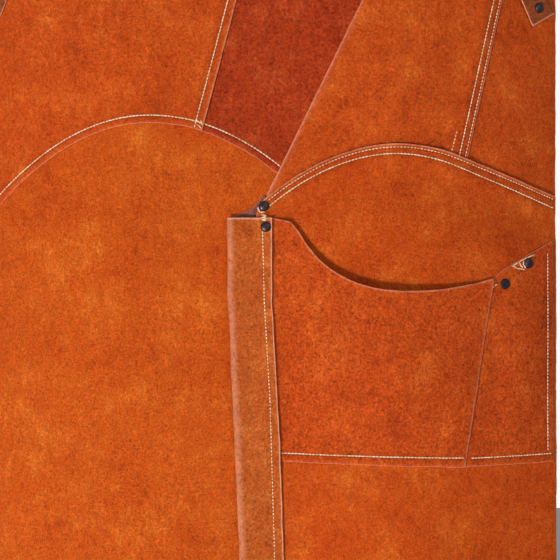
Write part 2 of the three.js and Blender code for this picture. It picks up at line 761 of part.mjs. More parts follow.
function hookSolid() {
  const plate = toSolid(plateAlongX(hookOutline(), HOOK_PLATE));
  const eyeShape = roundedRectangle(STRAP_WIDTH / 2 + 4, EYE_RISE - 9, EYE_RISE, 3);
  const eye = toSolid(wireLoop(eyeShape, WIRE));
  const slot = new THREE.BoxGeometry(GATE_WIDTH + 2 * FIT, 14, 12);
  slot.translate(0, GATE_PIVOT_Y, GATE_PIVOT_RISE - 1);
  const pinHole = toSolid(bar(GATE_PIN + 0.1, HOOK_PLATE + 4, 'x').translate(0, GATE_PIVOT_Y, GATE_PIVOT_RISE));
  return plate.add(eye).subtract(toSolid(slot)).subtract(pinHole);
}

// The gate reaches from its pin down to just above the hook's nose.
function gateSolid() {
  const shape = new THREE.Shape();
  const half = HOOK_WALL / 2 - 0.2;
  const low = NOSE_RISE + FIT;
  shape.moveTo(GATE_PIVOT_Y - half, low);
  shape.lineTo(GATE_PIVOT_Y + half, low);
  shape.lineTo(GATE_PIVOT_Y + half + 0.6, GATE_PIVOT_RISE);
  shape.absarc(GATE_PIVOT_Y, GATE_PIVOT_RISE, half + 0.6, 0, Math.PI, false);
  const bore = toSolid(bar(GATE_PIN + 0.1, GATE_WIDTH + 4, 'x').translate(0, GATE_PIVOT_Y, GATE_PIVOT_RISE));
  return toSolid(plateAlongX(shape, GATE_WIDTH)).subtract(bore);
}

// Two-bar slider: front bars over the straps, a middle bar behind them, cheeks at both sides.
const SLIDER_HALF_LENGTH = 13;
const SLIDER_CHEEK = 4;
const SLIDER_BAR = 3;
function sliderSolid() {
  const stack = 2 * STRAP + LAP_GAP;
  const inner = STRAP_WIDTH / 2 + 0.8;
  const frontY = -stack / 2 - FIT - SLIDER_BAR / 2;
  const backY = stack / 2 + FIT + SLIDER_BAR / 2;
  const parts = [];
  for (const z of [-SLIDER_HALF_LENGTH + SLIDER_BAR / 2, SLIDER_HALF_LENGTH - SLIDER_BAR / 2]) {
    parts.push(new THREE.BoxGeometry(2 * inner + 2 * SLIDER_CHEEK, SLIDER_BAR, SLIDER_BAR).translate(0, frontY, z));
  }
  parts.push(new THREE.BoxGeometry(2 * inner + 2 * SLIDER_CHEEK, SLIDER_BAR, 5).translate(0, backY, 0));
  const depth = backY - frontY + SLIDER_BAR;
  const middle = (backY + frontY) / 2;
  for (const side of [-1, 1]) {
    const cheek = new THREE.BoxGeometry(SLIDER_CHEEK, depth, 2 * SLIDER_HALF_LENGTH);
    parts.push(cheek.translate(side * (inner + SLIDER_CHEEK / 2), middle, 0));
  }
  return parts.map(toSolid).reduce((joined, part) => joined.add(part));
}

// ---- build: rivets first, because they punch the hide ----
addRivet('slit_upper_rivet', rivetFrame(0, SLIT_Z, 3), 3 * PITCH + HIDE);
addRivet('slit_lower_rivet', rivetFrame(2, SLIT_Z - 22, 6), 7 * PITCH + HIDE);
const pocketGrip = 2 * PITCH + RIVET_SLACK;
const cornerFrame = rivetFrame(POCKET_CORNER.x, SLIT_Z - POCKET_CORNER.drop, 4, POCKET_CORNER.swell);
const studFrame = rivetFrame(POCKET_STUD.x, SLIT_Z - POCKET_STUD.drop, 4, POCKET_STUD.swell);
addRivet('pocket_corner_rivet', cornerFrame, pocketGrip);
addRivet('pocket_stud', studFrame, pocketGrip, finishes.black);

const sides = [[-1, 'left'], [1, 'right']];
for (const [side, word] of sides) {
  const { foot, along } = frontLine(side);
  for (const [row, distance] of [['upper', -14], ['lower', -36]]) {
    const spot = foot.clone().addScaledVector(along, distance);
    const frame = new THREE.Matrix4().setPosition(spot.x, -bibStrapDepth - STRAP / 2, spot.z);
    addRivet(`${word}_bib_${row}_rivet`, frame, bibStrapDepth + STRAP / 2);
  }
  const { tab, hook } = waistFrames(side);
  const tabFront = new THREE.Matrix4().makeTranslation(0, -TAB_LEG_OFFSET - HIDE / 2, -TAB_LEG + 14);
  addRivet(`${word}_waist_rivet`, tab.clone().multiply(tabFront), 2 * TAB_LEG_OFFSET + HIDE);
  const loopFront = new THREE.Matrix4().makeTranslation(0, -STRAP - LAP_GAP / 2, EYE_RISE + 28);
  addRivet(`${word}_strap_rivet`, hook.clone().multiply(loopFront), 2 * STRAP + LAP_GAP);
}

function addHide(name, solid, material) {
  addMesh(name, toGeometry(punched(solid)), material);
}

addHide('left_leg_panel', ply(leftLegOutline(), 0).intersect(apronEdge), finishes.smooth);
addHide('right_leg_panel', ply(rightLegOutline(), 3).intersect(apronEdge), finishes.smooth);
addHide('centre_panel', ply(centreOutline(), 1).intersect(apronEdge), finishes.coarse);
addHide('left_upper_panel', ply(leftUpperOutline(), 2).intersect(apronEdge), finishes.smooth);
addHide('right_upper_panel', ply(rightUpperOutline(), 2).intersect(apronEdge), finishes.smooth);
addHide('right_side_panel', ply(rightSideOutline(), 1).intersect(apronEdge), finishes.smooth);
addHide('slit_facing', slitFacing().intersect(apronEdge), finishes.facing);
addHide('underlap_facing', underlapFacing().intersect(apronEdge), finishes.facing);
addHide('slit_reinforcement', slitReinforcement(), finishes.facing);
addHide('side_pocket', ply(pocketSideOutline(), 4, sidePocketBulge), finishes.coarse);
addHide('front_pocket', ply(pocketFrontOutline(), 5, pocketBulge), finishes.coarse);
addHide('bib_top_hem', bibHem(), finishes.facing);

for (const [side, word] of sides) {
  addHide(`${word}_bib_strap`, bibStrap(side), finishes.strap);
  addHide(`${word}_harness_strap`, ribbon(longStrapSamples(side), STRAP_WIDTH, STRAP), finishes.strap);

  const { foot, along, across } = frontLine(side);
  const sliderAt = foot.clone().addScaledVector(along, 50);
  const sliderDepth = (bibStrapDepth + longStrapDepth) / 2;
  const sliderFrame = new THREE.Matrix4().makeBasis(across, new THREE.Vector3(0, 1, 0), along);
  sliderFrame.setPosition(sliderAt.x, -sliderDepth, sliderAt.z);
  addMesh(`${word}_strap_slider`, toGeometry(sliderSolid()).applyMatrix4(sliderFrame), finishes.steel);

  const { tab, hook } = waistFrames(side);
  const loop = WIRE + FIT + HIDE / 2;
  const leg = TAB_LEG_OFFSET;
  const line = [[leg, -TAB_LEG], [leg, -9], [loop, -3]];
  for (let k = 0; k <= 8; k += 1) {
    const turn = (Math.PI * k) / 8;
    line.push([loop * Math.cos(turn), loop * Math.sin(turn)]);
  }
  line.push([-loop, -3], [-leg, -9], [-leg, -TAB_LEG]);
  const tabSolid = toSolid(foldedStrap(line, HIDE, TAB_WIDTH).applyMatrix4(tab));
  addHide(`${word}_waist_tab`, tabSolid, finishes.strap);

  const ringShape = roundedRectangle(TAB_WIDTH / 2 + 4.5, 0, RING_RISE, 6);
  addMesh(`${word}_waist_ring`, wireLoop(ringShape, WIRE).applyMatrix4(hook), finishes.steel);
  addMesh(`${word}_snap_hook`, toGeometry(hookSolid()).applyMatrix4(hook), finishes.steel);
  addMesh(`${word}_hook_gate`, toGeometry(gateSolid()).applyMatrix4(hook), finishes.steel);
  const pin = bar(GATE_PIN, HOOK_PLATE + 0.6, 'x').translate(0, GATE_PIVOT_Y, GATE_PIVOT_RISE);
  addMesh(`${word}_gate_pin`, pin.applyMatrix4(hook), finishes.gunmetal);
}

export default apron;
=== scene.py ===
import math

import bmesh
import bpy
import numpy as np
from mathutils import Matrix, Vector, geometry, kdtree, noise


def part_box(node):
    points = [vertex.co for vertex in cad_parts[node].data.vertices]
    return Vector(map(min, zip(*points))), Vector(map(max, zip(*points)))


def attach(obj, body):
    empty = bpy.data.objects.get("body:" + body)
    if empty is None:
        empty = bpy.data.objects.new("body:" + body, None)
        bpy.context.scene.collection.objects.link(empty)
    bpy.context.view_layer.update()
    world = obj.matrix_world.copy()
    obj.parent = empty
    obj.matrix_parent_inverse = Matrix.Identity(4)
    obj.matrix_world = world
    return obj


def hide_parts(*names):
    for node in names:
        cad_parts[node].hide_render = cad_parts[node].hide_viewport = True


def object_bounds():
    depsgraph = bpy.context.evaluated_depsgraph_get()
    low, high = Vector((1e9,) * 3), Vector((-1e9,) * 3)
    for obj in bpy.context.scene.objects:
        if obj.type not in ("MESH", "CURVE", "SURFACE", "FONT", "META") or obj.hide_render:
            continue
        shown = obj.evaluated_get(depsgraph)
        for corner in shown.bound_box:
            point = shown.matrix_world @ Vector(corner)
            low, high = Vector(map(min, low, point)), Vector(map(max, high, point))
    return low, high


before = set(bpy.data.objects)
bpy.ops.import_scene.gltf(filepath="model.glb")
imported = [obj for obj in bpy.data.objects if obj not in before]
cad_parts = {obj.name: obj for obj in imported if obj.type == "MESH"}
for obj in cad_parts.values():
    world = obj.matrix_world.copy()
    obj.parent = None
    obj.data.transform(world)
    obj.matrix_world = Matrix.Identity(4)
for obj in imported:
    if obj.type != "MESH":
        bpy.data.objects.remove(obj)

cad_low, cad_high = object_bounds()

# ---------------------------------------------------------------------------------------------------
# The left leg panel: the hide that the rest is laid on. Split cowhide about 1.8 mm thick, hand cut,
# its top an arch that the upper panels lap over, its inner edge running on behind the slit.
# Shapes are drawn in millimetres from the front, x across and z up, and become metres in the meshes.
# ---------------------------------------------------------------------------------------------------
MM = 0.001
BODY = "apron"
HALF_WIDTH = -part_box("left_leg_panel")[0][0] / MM
HEM_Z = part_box("left_leg_panel")[0][2] / MM
SLIT_Z = HEM_Z + 520.0
WAIST_Z = SLIT_Z + 235.0
BIB_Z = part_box("bib_top_hem")[1][2] / MM
BIB_HALF_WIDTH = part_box("bib_top_hem")[1][0] / MM
WAIST_FLAT = 62.0
HEM_CORNER = 60.0
FLAT_HALF_WIDTH = 112.0
SIDE_CURL = 62.0
FLUTE_DEPTH = 5.0
FLUTE_SPACING = 210.0
HIDE = 1.8
PITCH = 2.0
LAY_GAP = 0.15
LAP = 15.0


def hang_form(x, z):
    """How far behind the flat front plane the hide hangs: curled sides, fluted legs, soft slumps."""
    beyond = np.maximum(0, np.abs(x) - FLAT_HALF_WIDTH) / (HALF_WIDTH - FLAT_HALF_WIDTH)
    below = np.maximum(0, SLIT_Z - z) / (SLIT_Z - HEM_Z)
    flute = FLUTE_DEPTH * below**2 * np.cos(2 * math.pi * (x - 40) / FLUTE_SPACING)
    slump = 1.0 * np.sin(x / 31 + z / 57) * np.sin(z / 43 - x / 83)
    slump += 0.6 * np.sin(x / 15 - z / 26 + 1.3) * np.sin(z / 71 + x / 47)
    return SIDE_CURL * beyond**2 + flute + slump * np.clip((WAIST_Z - 20 - z) / 120, 0, 1)


def arch(centre, rise, fall, lift=0.0, straight_from=math.inf):
    """A thigh seam's height: it falls away from an apex, and runs on straight from straight_from outwards."""
    def height(x):
        bent = np.minimum(x, straight_from)
        run = bent - centre
        return SLIT_Z + rise + lift - fall * run ** 2 - 2 * fall * run * (x - bent)
    return height


def left_arch(lift=0.0):
    return arch(-120, 88, 0.0030, lift)


def right_arch(lift=0.0):
    return arch(143, 66, 0.0029, lift, 205)


def slit_x(z):
    return 0.024 * (SLIT_Z - z)


def along_x(height, start, stop, step=3.0):
    x = np.linspace(start, stop, max(2, int(abs(stop - start) / step)))
    return np.column_stack([x, height(x)])


def straight(start, stop, step=3.0):
    a, b = np.array(start, float), np.array(stop, float)
    count = max(2, int(np.linalg.norm(b - a) / step) + 1)
    return a + (b - a) * np.linspace(0, 1, count)[:, None]


def bend(*points, step=3.0):
    """A Bezier curve of two or three degrees through its end points."""
    p = np.array(points, float)
    length = np.sum(np.linalg.norm(np.diff(p, axis=0), axis=1))
    t = np.linspace(0, 1, max(4, int(length / step)))[:, None]
    while len(p) > 1:
        p = [a + (b - a) * t for a, b in zip(p, p[1:])]
    return p[0]


def corner(centre, radius, start, stop):
    turn = np.radians(np.linspace(start, stop, 24))
    return np.column_stack([centre[0] + radius * np.cos(turn), centre[1] + radius * np.sin(turn)])


def cut_at(line, other):
    """line up to where it first crosses other, and other from there on."""
    for i in range(len(line) - 1):
        p, r = line[i], line[i + 1] - line[i]
        for j in range(len(other) - 1):
            q, s = other[j], other[j + 1] - other[j]
            cross = r[0] * s[1] - r[1] * s[0]
            if abs(cross) < 1e-9:
                continue
            t = ((q - p)[0] * s[1] - (q - p)[1] * s[0]) / cross
            u = ((q - p)[0] * r[1] - (q - p)[1] * r[0]) / cross
            if 0 <= t <= 1 and 0 <= u <= 1:
                meet = p + r * t
                return np.vstack([line[: i + 1], meet]), np.vstack([meet, other[j + 1 :]])
    raise ValueError("the two lines never cross")


def outline_of(*runs):
    """Runs of points end to end, anticlockwise and without doubled points."""
    points = np.vstack(runs)
    points = points[np.linalg.norm(points - np.roll(points, 1, axis=0), axis=1) > 0.4]
    return points if area_of(points) > 0 else points[::-1]


def area_of(outline):
    x, z = outline.T
    return np.sum(x * np.roll(z, -1) - np.roll(x, -1) * z) / 2


def inside(points, outline):
    result = np.zeros(len(points), bool)
    x, z = points.T
    for (x0, z0), (x1, z1) in zip(outline, np.roll(outline, -1, axis=0)):
        if z0 != z1:
            crosses = (z0 > z) != (z1 > z)
            result ^= crosses & (x < (x1 - x0) * (z - z0) / (z1 - z0) + x0)
    return result


def tree_of(points):
    tree = kdtree.KDTree(len(points))
    for k, (x, z) in enumerate(points):
        tree.insert((x, z, 0), k)
    tree.balance()
    return tree


def distance(tree, points):
    return np.array([tree.find((x, z, 0))[2] for x, z in points])


def smooth_step(t):
    t = np.clip(t, 0, 1)
    return t * t * (3 - 2 * t)


# The lay-up: how far the hide laid last stands in front of the hanging form, on a raster.
LAY_STEP = 2.0
lay_x = np.arange(-344, 345, LAY_STEP)
lay_z = np.arange(HEM_Z - 14, BIB_Z + 14, LAY_STEP)
lay_points = np.stack(np.meshgrid(lay_x, lay_z), axis=-1).reshape(-1, 2)
laid = np.zeros((len(lay_z), len(lay_x)))
back_of = {}
edge_of = {}


def spread(field, reach, combine):
    """The greatest or the mean value within reach cells, one direction after the other."""
    for axis in (0, 1):
        field = combine([np.roll(field, k, axis=axis) for k in range(-reach, reach + 1)], axis=0)
    return field


def sample(field, x, z):
    """The raster's value at points between its cells."""
    u = np.clip((x - lay_x[0]) / LAY_STEP, 0, len(lay_x) - 1.001)
    v = np.clip((z - lay_z[0]) / LAY_STEP, 0, len(lay_z) - 1.001)
    i, j = u.astype(int), v.astype(int)
    near = field[j, i] * (1 + i - u) + field[j, i + 1] * (u - i)
    far = field[j + 1, i] * (1 + i - u) + field[j + 1, i + 1] * (u - i)
    return near * (1 + j - v) + far * (v - j)


def from_seams(seams):
    """Each raster point's distance from the nearest seam, measured to a point every 10 mm or so."""
    knots = np.vstack([seam[::4] for seam in seams]).astype(np.float32)
    nearest = np.full(len(lay_points), 1e9, np.float32)
    points = lay_points.astype(np.float32)
    for knot in knots:
        nearest = np.minimum(nearest, np.sum((points - knot) ** 2, axis=1))
    return np.sqrt(nearest).reshape(laid.shape)


def lay_down(name, outline, level, seams, bulge=None):
    """Lays a hide over what lies there already: tight at its seams, easing out to its own level."""
    global laid
    support = spread(laid, 4, np.max)
    support = spread(spread(support, 2, np.mean), 2, np.mean) + LAY_GAP
    ease = smooth_step((from_seams(seams) - 12) / 60) if seams else 0
    back = support + np.maximum(0, level * PITCH - support) * ease
    if bulge is not None:
        back = back + bulge(lay_points[:, 0], lay_points[:, 1]).reshape(back.shape)
    covered = inside(lay_points, outline).reshape(laid.shape)
    laid = np.where(covered, back + HIDE, laid)
    back_of[name] = back
    edge_of[name] = outline
    return back


def wobbled(outline, size, seed):
    """A hand-sheared edge: the outline moved in and out by a fraction of a millimetre."""
    ahead = np.roll(outline, -1, axis=0) - np.roll(outline, 1, axis=0)
    out = np.column_stack([ahead[:, 1], -ahead[:, 0]])
    out /= np.linalg.norm(out, axis=1)[:, None] + 1e-9
    shift = [noise.noise((x / 14, z / 14, seed)) + 0.5 * noise.noise((x / 4, z / 4, seed))
             for x, z in outline]
    return outline + out * size * np.array(shift)[:, None]


def offset_line(line, shift):
    """A line moved sideways: to the left of its direction where shift is positive."""
    ahead = np.gradient(line, axis=0)
    left = np.column_stack([-ahead[:, 1], ahead[:, 0]])
    left /= np.linalg.norm(left, axis=1)[:, None] + 1e-9
    return line + left * shift


def grid_points(outline, spacing):
    """A staggered grid over the outline's box."""
    (x0, z0), (x1, z1) = outline.min(axis=0), outline.max(axis=0)
    rows = []
    for k, z in enumerate(np.arange(z0 + spacing / 2, z1, spacing * 0.866)):
        xs = np.arange(x0 + (k % 2) * spacing / 2, x1, spacing)
        rows.append(np.column_stack([xs, np.full(len(xs), z)]))
    return np.vstack(rows)


def border_edges(faces):
    """Edges that only one face uses, in that face's direction, in the order of the faces."""
    used = {(f[k], f[(k + 1) % len(f)]): None for f in faces for k in range(len(f))}
    return [(a, b) for a, b in used if (b, a) not in used]


def mesh_piece(name, points, faces, sharp=55):
    mesh = bpy.data.meshes.new(name)
    mesh.from_pydata([tuple(p) for p in points], [], [tuple(int(k) for k in f) for f in faces])
    mesh.validate()
    mesh.shade_smooth()
    mesh.set_sharp_from_angle(angle=math.radians(sharp))
    piece = bpy.data.objects.new(name, mesh)
    bpy.context.scene.collection.objects.link(piece)
    return piece


def paint(piece, name, values):
    """A number at every point, which the piece's material reads by this name."""
    layer = piece.data.attributes.new(name, "FLOAT", "POINT")
    layer.data.foreach_set("value", np.asarray(values, np.float32))


def hide_piece(name, outline, level, seams=(), pale=(), nicks=(), lifted=(), bulge=None, spacing=6.0,
               seed=1.0, behind=None):
    """A cut hide: laid down, grooved at its seams, rounded at its raw edge and as thick as split
    cowhide all over. pale lists (line, width) where the light flesh layer shows, nicks short cuts, and
    lifted (line, height) the cut edges that curl off what lies below."""
    if behind is None:
        back = lay_down(name, outline, level, seams, bulge)
    else:
        back = np.full(laid.shape, behind)
        back_of[name] = back
        edge_of[name] = outline
    rim = wobbled(outline, 0.55, seed)
    rim_tree = tree_of(rim)
    inward = np.roll(rim, -1, axis=0) - np.roll(rim, 1, axis=0)
    inward = np.column_stack([-inward[:, 1], inward[:, 0]])
    inward /= np.linalg.norm(inward, axis=1)[:, None] + 1e-9
    extra = []
    for depth in (0.7, 2.4):
        ring = rim + inward * depth
        extra.append(ring[distance(rim_tree, ring) > depth * 0.8])
    seam_tree = None
    if len(seams):
        seam_tree = tree_of(np.vstack(seams))
        rows = np.vstack([offset_line(seam, s) for seam in seams for s in (-2.6, -1.1, 0, 1.1, 2.6)])
        rows = rows[inside(rows, rim)]
        extra.append(rows[distance(rim_tree, rows) > 1.4])
    if len(nicks):
        cuts = np.vstack([offset_line(nick, s) for nick in nicks for s in (-0.7, 0, 0.7)])
        extra.append(cuts[inside(cuts, rim)])
    grid = grid_points(rim, spacing)
    grid = grid[inside(grid, rim)]
    grid = grid[distance(rim_tree, grid) > 4.4]
    if seam_tree is not None:
        grid = grid[distance(seam_tree, grid) > 4.6]
    corners = [Vector(p) for p in np.vstack([rim] + extra + [grid])]
    edges = [(k, (k + 1) % len(rim)) for k in range(len(rim))]
    flat, _, faces, *_ = geometry.delaunay_2d_cdt(corners, edges, [], 1, 1e-4)
    flat = np.array([tuple(v) for v in flat])
    faces = [tuple(f) if area_of(flat[list(f)]) > 0 else tuple(f)[::-1] for f in faces]
    x, z = flat.T
    edge_gap = distance(rim_tree, flat)
    seam_gap = np.full(len(flat), 99.0) if seam_tree is None else distance(seam_tree, flat)
    depth = sample(back, x, z)
    for line, rise in lifted:
        depth = depth + rise * np.exp(-distance(tree_of(line), flat) / 2.5)
    groove = 0.6 * np.exp(-((seam_gap / 1.1) ** 2)) - 0.3 * np.exp(-(((seam_gap - 3.2) / 1.7) ** 2))
    cut = np.zeros(len(flat))
    for nick in nicks:
        cut = np.maximum(cut, np.exp(-((distance(tree_of(nick), flat) / 0.6) ** 2)))
    front = depth + HIDE - groove - 0.5 * cut - 0.55 * np.exp(-edge_gap / 0.8)
    form = hang_form(x, z)
    count = len(flat)
    points = np.vstack([np.column_stack([x, form - front, z]), np.column_stack([x, form - depth, z])])
    polygons = faces + [tuple(count + k for k in reversed(f)) for f in faces]
    polygons += [(b, a, count + a, count + b) for a, b in border_edges(faces)]
    piece = mesh_piece(name, points * MM, polygons)
    raw = 0.75 * np.exp(-((edge_gap / 0.5) ** 2))
    for line, width in pale:
        raw = np.maximum(raw, 0.6 * np.clip(1.3 - distance(tree_of(line), flat) / width, 0, 1))
    paint(piece, "raw_edge", np.concatenate([raw, 0.8 * np.exp(-edge_gap / 0.6)]))
    # The seam mask, which the material uses for grime and painted shade along the grooves.
    paint(piece, "sewn", np.tile(np.exp(-((seam_gap / 2.8) ** 2)), 2))
    paint(piece, "nick", np.concatenate([cut, np.zeros(count)]))
    return piece


def declare_hide(piece, node, outline, finish):
    """The hide stands for its CAD panel, which it hides; it works out the rectangle it is cut from and its
    cut area, but passes them nowhere.
    """
    piece.data.materials.append(finish)
    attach(piece, BODY)
    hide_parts(node)
    width, length = (outline.max(axis=0) - outline.min(axis=0)) * MM
    area = abs(area_of(outline)) * MM * MM
    width = min(width, area / (0.34 * length))


def group_tree(name, inputs, outputs, kind="ShaderNodeTree"):
    """A node group with named sockets; inputs and outputs list (name, socket type, default)."""
    tree = bpy.data.node_groups.new(name, kind)
    for way, sockets in (("INPUT", inputs), ("OUTPUT", outputs)):
        for label, socket_type, *default in sockets:
            made = tree.interface.new_socket(name=label, in_out=way, socket_type=socket_type)
            if default:
                made.default_value = default[0]
    return tree, tree.nodes.new("NodeGroupInput").outputs, tree.nodes.new("NodeGroupOutput").inputs


def math_node(tree, operation, a, b=None, clamp=False):
    made = tree.nodes.new("ShaderNodeMath")
    made.operation = operation
    made.use_clamp = clamp
    for socket, value in zip(made.inputs, (a, b)):
        if isinstance(value, (int, float)):
            socket.default_value = value
        elif value is not None:
            tree.links.new(value, socket)
    return made.outputs[0]


def mixed(tree, share, a, b, blend="MIX"):
    made = tree.nodes.new("ShaderNodeMix")
    made.data_type = "RGBA"
    made.blend_type = blend
    for socket, value in zip((made.inputs[0], made.inputs[6], made.inputs[7]), (share, a, b)):
        if isinstance(value, (int, float, tuple)):
            socket.default_value = value
        else:
            tree.links.new(value, socket)
    return made.outputs[2]


def remapped(tree, value, low, high, to_low=0.0, to_high=1.0):
    made = tree.nodes.new("ShaderNodeMapRange")
    made.interpolation_type = "SMOOTHSTEP"
    for socket, number in zip(made.inputs[1:5], (low, high, to_low, to_high)):
        socket.default_value = number
    tree.links.new(value, made.inputs[0])
    return made.outputs[0]


def noise_of(tree, where, scale, detail=3.0, rough=0.55, stretch=None):
    made = tree.nodes.new("ShaderNodeTexNoise")
    if stretch is not None:
        mapping = tree.nodes.new("ShaderNodeMapping")
        mapping.inputs["Scale"].default_value = stretch
        tree.links.new(where, mapping.inputs["Vector"])
        where = mapping.outputs[0]
    tree.links.new(where, made.inputs["Vector"])
    if isinstance(scale, (int, float)):
        made.inputs["Scale"].default_value = scale
    else:
        tree.links.new(scale, made.inputs["Scale"])
    made.inputs["Detail"].default_value = detail
    made.inputs["Roughness"].default_value = rough
    return made.outputs["Fac"]


def attribute(tree, name):
    made = tree.nodes.new("ShaderNodeAttribute")
    made.attribute_name = name
    return made.outputs["Fac"]


# Split suede: dyed patches, a brushed nap that scatters light and dark, coarse fibres, pale raw edges, seams
# darkened by grime and painted shade, and nicks painted near-black as shade.
suede, given, result = group_tree(
    "split_suede",
    [("Dark", "NodeSocketColor"), ("Mid", "NodeSocketColor"), ("Light", "NodeSocketColor"),
     ("Raw Edge", "NodeSocketColor"), ("Patch Scale", "NodeSocketFloat", 18.0),
     ("Nap Scale", "NodeSocketFloat", 520.0), ("Nap Contrast", "NodeSocketFloat", 0.5),
     ("Coarseness", "NodeSocketFloat", 0.3)],
    [("Color", "NodeSocketColor"), ("Roughness", "NodeSocketFloat"), ("Height", "NodeSocketFloat")],
)
where = suede.nodes.new("ShaderNodeTexCoord").outputs["Object"]
patches = noise_of(suede, where, given["Patch Scale"], 4.0, 0.62)
blotches = noise_of(suede, where, 62.0, 5.0, 0.68)
brushed = noise_of(suede, where, 150.0, 4.0, 0.6, stretch=(1.0, 1.0, 0.38))
nap = noise_of(suede, where, given["Nap Scale"], 3.0, 0.7)
fibres = noise_of(suede, where, 1500.0, 2.0, 0.6, stretch=(1.0, 1.0, 0.3))
clumps = noise_of(suede, where, 260.0, 3.0, 0.7)
tone = math_node(suede, "ADD", math_node(suede, "MULTIPLY", patches, 0.45),
                 math_node(suede, "MULTIPLY", blotches, 0.3))
tone = math_node(suede, "ADD", tone, math_node(suede, "MULTIPLY", brushed, 0.25))
dark_share = remapped(suede, tone, 0.5, 0.32)
light_share = remapped(suede, tone, 0.48, 0.68)
colour = mixed(suede, dark_share, given["Mid"], given["Dark"])
colour = mixed(suede, light_share, colour, given["Light"])
speck = math_node(suede, "ADD", math_node(suede, "MULTIPLY", nap, 0.5),
                  math_node(suede, "MULTIPLY", fibres, 0.25))
speck = math_node(suede, "ADD", speck, math_node(suede, "MULTIPLY", clumps, 0.25))
swing = math_node(suede, "MULTIPLY", math_node(suede, "SUBTRACT", speck, 0.5), given["Nap Contrast"])
swing = math_node(suede, "MULTIPLY", swing, 8.0)
shade = suede.nodes.new("ShaderNodeHueSaturation")
suede.links.new(colour, shade.inputs["Color"])
suede.links.new(math_node(suede, "ADD", swing, 1.0), shade.inputs["Value"])
colour = shade.outputs[0]
# Painted shade: the hide darkens along its seam grooves, partly grime and partly the shade that falls in
# them.
seam_grime_and_shade = math_node(suede, "MULTIPLY", attribute(suede, "sewn"), 0.35)
colour = mixed(suede, seam_grime_and_shade, colour, (0.30, 0.10, 0.04, 1.0), "MULTIPLY")
# Paled towards the raw-edge colour: the cut edges, and on the facing's fold wear plus a painted highlight.
worn = math_node(suede, "MULTIPLY", attribute(suede, "raw_edge"),
                 remapped(suede, clumps, 0.3, 0.52, 0.45, 1.0))
colour = mixed(suede, worn, colour, given["Raw Edge"])
# Painted shade: the nicks' cuts are darkened almost to black, as the shade inside them.
painted_nick_shade = math_node(suede, "MULTIPLY", attribute(suede, "nick"), 0.8)
colour = mixed(suede, painted_nick_shade, colour, (0.03, 0.008, 0.004, 1.0))
suede.links.new(colour, result["Color"])
suede.links.new(remapped(suede, speck, 0.35, 0.65, 0.78, 0.95), result["Roughness"])
height = math_node(suede, "ADD", math_node(suede, "MULTIPLY", nap, 0.35),
                   math_node(suede, "MULTIPLY", fibres, 0.15))
coarse = math_node(suede, "MULTIPLY", clumps, given["Coarseness"])
suede.links.new(math_node(suede, "ADD", height, coarse), result["Height"])


def linear(red, green, blue):
    """A display colour, 0 to 255, as the linear colour that shaders use."""
    parts = [c / 255 for c in (red, green, blue)]
    return tuple(c / 12.92 if c <= 0.04045 else ((c + 0.055) / 1.055) ** 2.4 for c in parts) + (1.0,)


def suede_finish(name, dark, mid, light, raw, patch=18.0, nap_scale=520.0, contrast=0.5, coarseness=0.3,
                 relief=0.0005, sheen=0.0):
    finish = bpy.data.materials.new(name)
    finish.use_nodes = True
    tree = finish.node_tree
    shader = tree.nodes["Principled BSDF"]
    group = tree.nodes.new("ShaderNodeGroup")
    group.node_tree = suede
    for label, colour in (("Dark", dark), ("Mid", mid), ("Light", light), ("Raw Edge", raw)):
        group.inputs[label].default_value = linear(*colour)
    for label, value in (("Patch Scale", patch), ("Nap Scale", nap_scale), ("Nap Contrast", contrast),
                         ("Coarseness", coarseness)):
        group.inputs[label].default_value = value
    bump = tree.nodes.new("ShaderNodeBump")
    bump.inputs["Strength"].default_value = 0.8
    bump.inputs["Distance"].default_value = relief
    tree.links.new(group.outputs["Color"], shader.inputs["Base Color"])
    tree.links.new(group.outputs["Roughness"], shader.inputs["Roughness"])
    tree.links.new(group.outputs["Height"], bump.inputs["Height"])
    tree.links.new(bump.outputs[0], shader.inputs["Normal"])
    shader.inputs["Specular IOR Level"].default_value = 0.12
    shader.inputs["Sheen Weight"].default_value = sheen
    shader.inputs["Sheen Roughness"].default_value = 0.6
    shader.inputs["Sheen Tint"].default_value = linear(*light)
    return finish


smooth_suede = suede_finish(
    "smooth_suede", (166, 58, 10), (185, 76, 16), (205, 104, 30), (226, 152, 118), contrast=0.42)

left_leg_edge = outline_of(
    straight((-HALF_WIDTH, HEM_Z + HEM_CORNER), (-HALF_WIDTH, left_arch(LAP)(-HALF_WIDTH))),
    along_x(left_arch(LAP), -HALF_WIDTH, 16),
    straight((16, left_arch(LAP)(16)), (16, SLIT_Z)),
    straight((16, SLIT_Z), (28.5, HEM_Z)),
    straight((28.5, HEM_Z), (-HALF_WIDTH + HEM_CORNER, HEM_Z)),
    corner((-HALF_WIDTH + HEM_CORNER, HEM_Z + HEM_CORNER), HEM_CORNER, 270, 180),
)
left_leg = hide_piece("left_leg_hide", left_leg_edge, 0, seed=1.0)
declare_hide(left_leg, "left_leg_panel", left_leg_edge, smooth_suede)

# ---------------------------------------------------------------------------------------------------
# The underlap facing: a strip of the same hide sewn behind the left leg's inner edge, down the slit.
# ---------------------------------------------------------------------------------------------------
FACING_TOP = SLIT_Z - 12


def strip_down_slit(left, right, top=FACING_TOP):
    """A strip that follows the slit from its top to the hem."""
    return outline_of(
        straight((slit_x(HEM_Z) + right, HEM_Z), (slit_x(top) + right, top)),
        straight((slit_x(top) + right, top), (slit_x(top) + left, top), 2.0),
        straight((slit_x(top) + left, top), (slit_x(HEM_Z) + left, HEM_Z)),
        straight((slit_x(HEM_Z) + left, HEM_Z), (slit_x(HEM_Z) + right, HEM_Z), 2.0),
    )


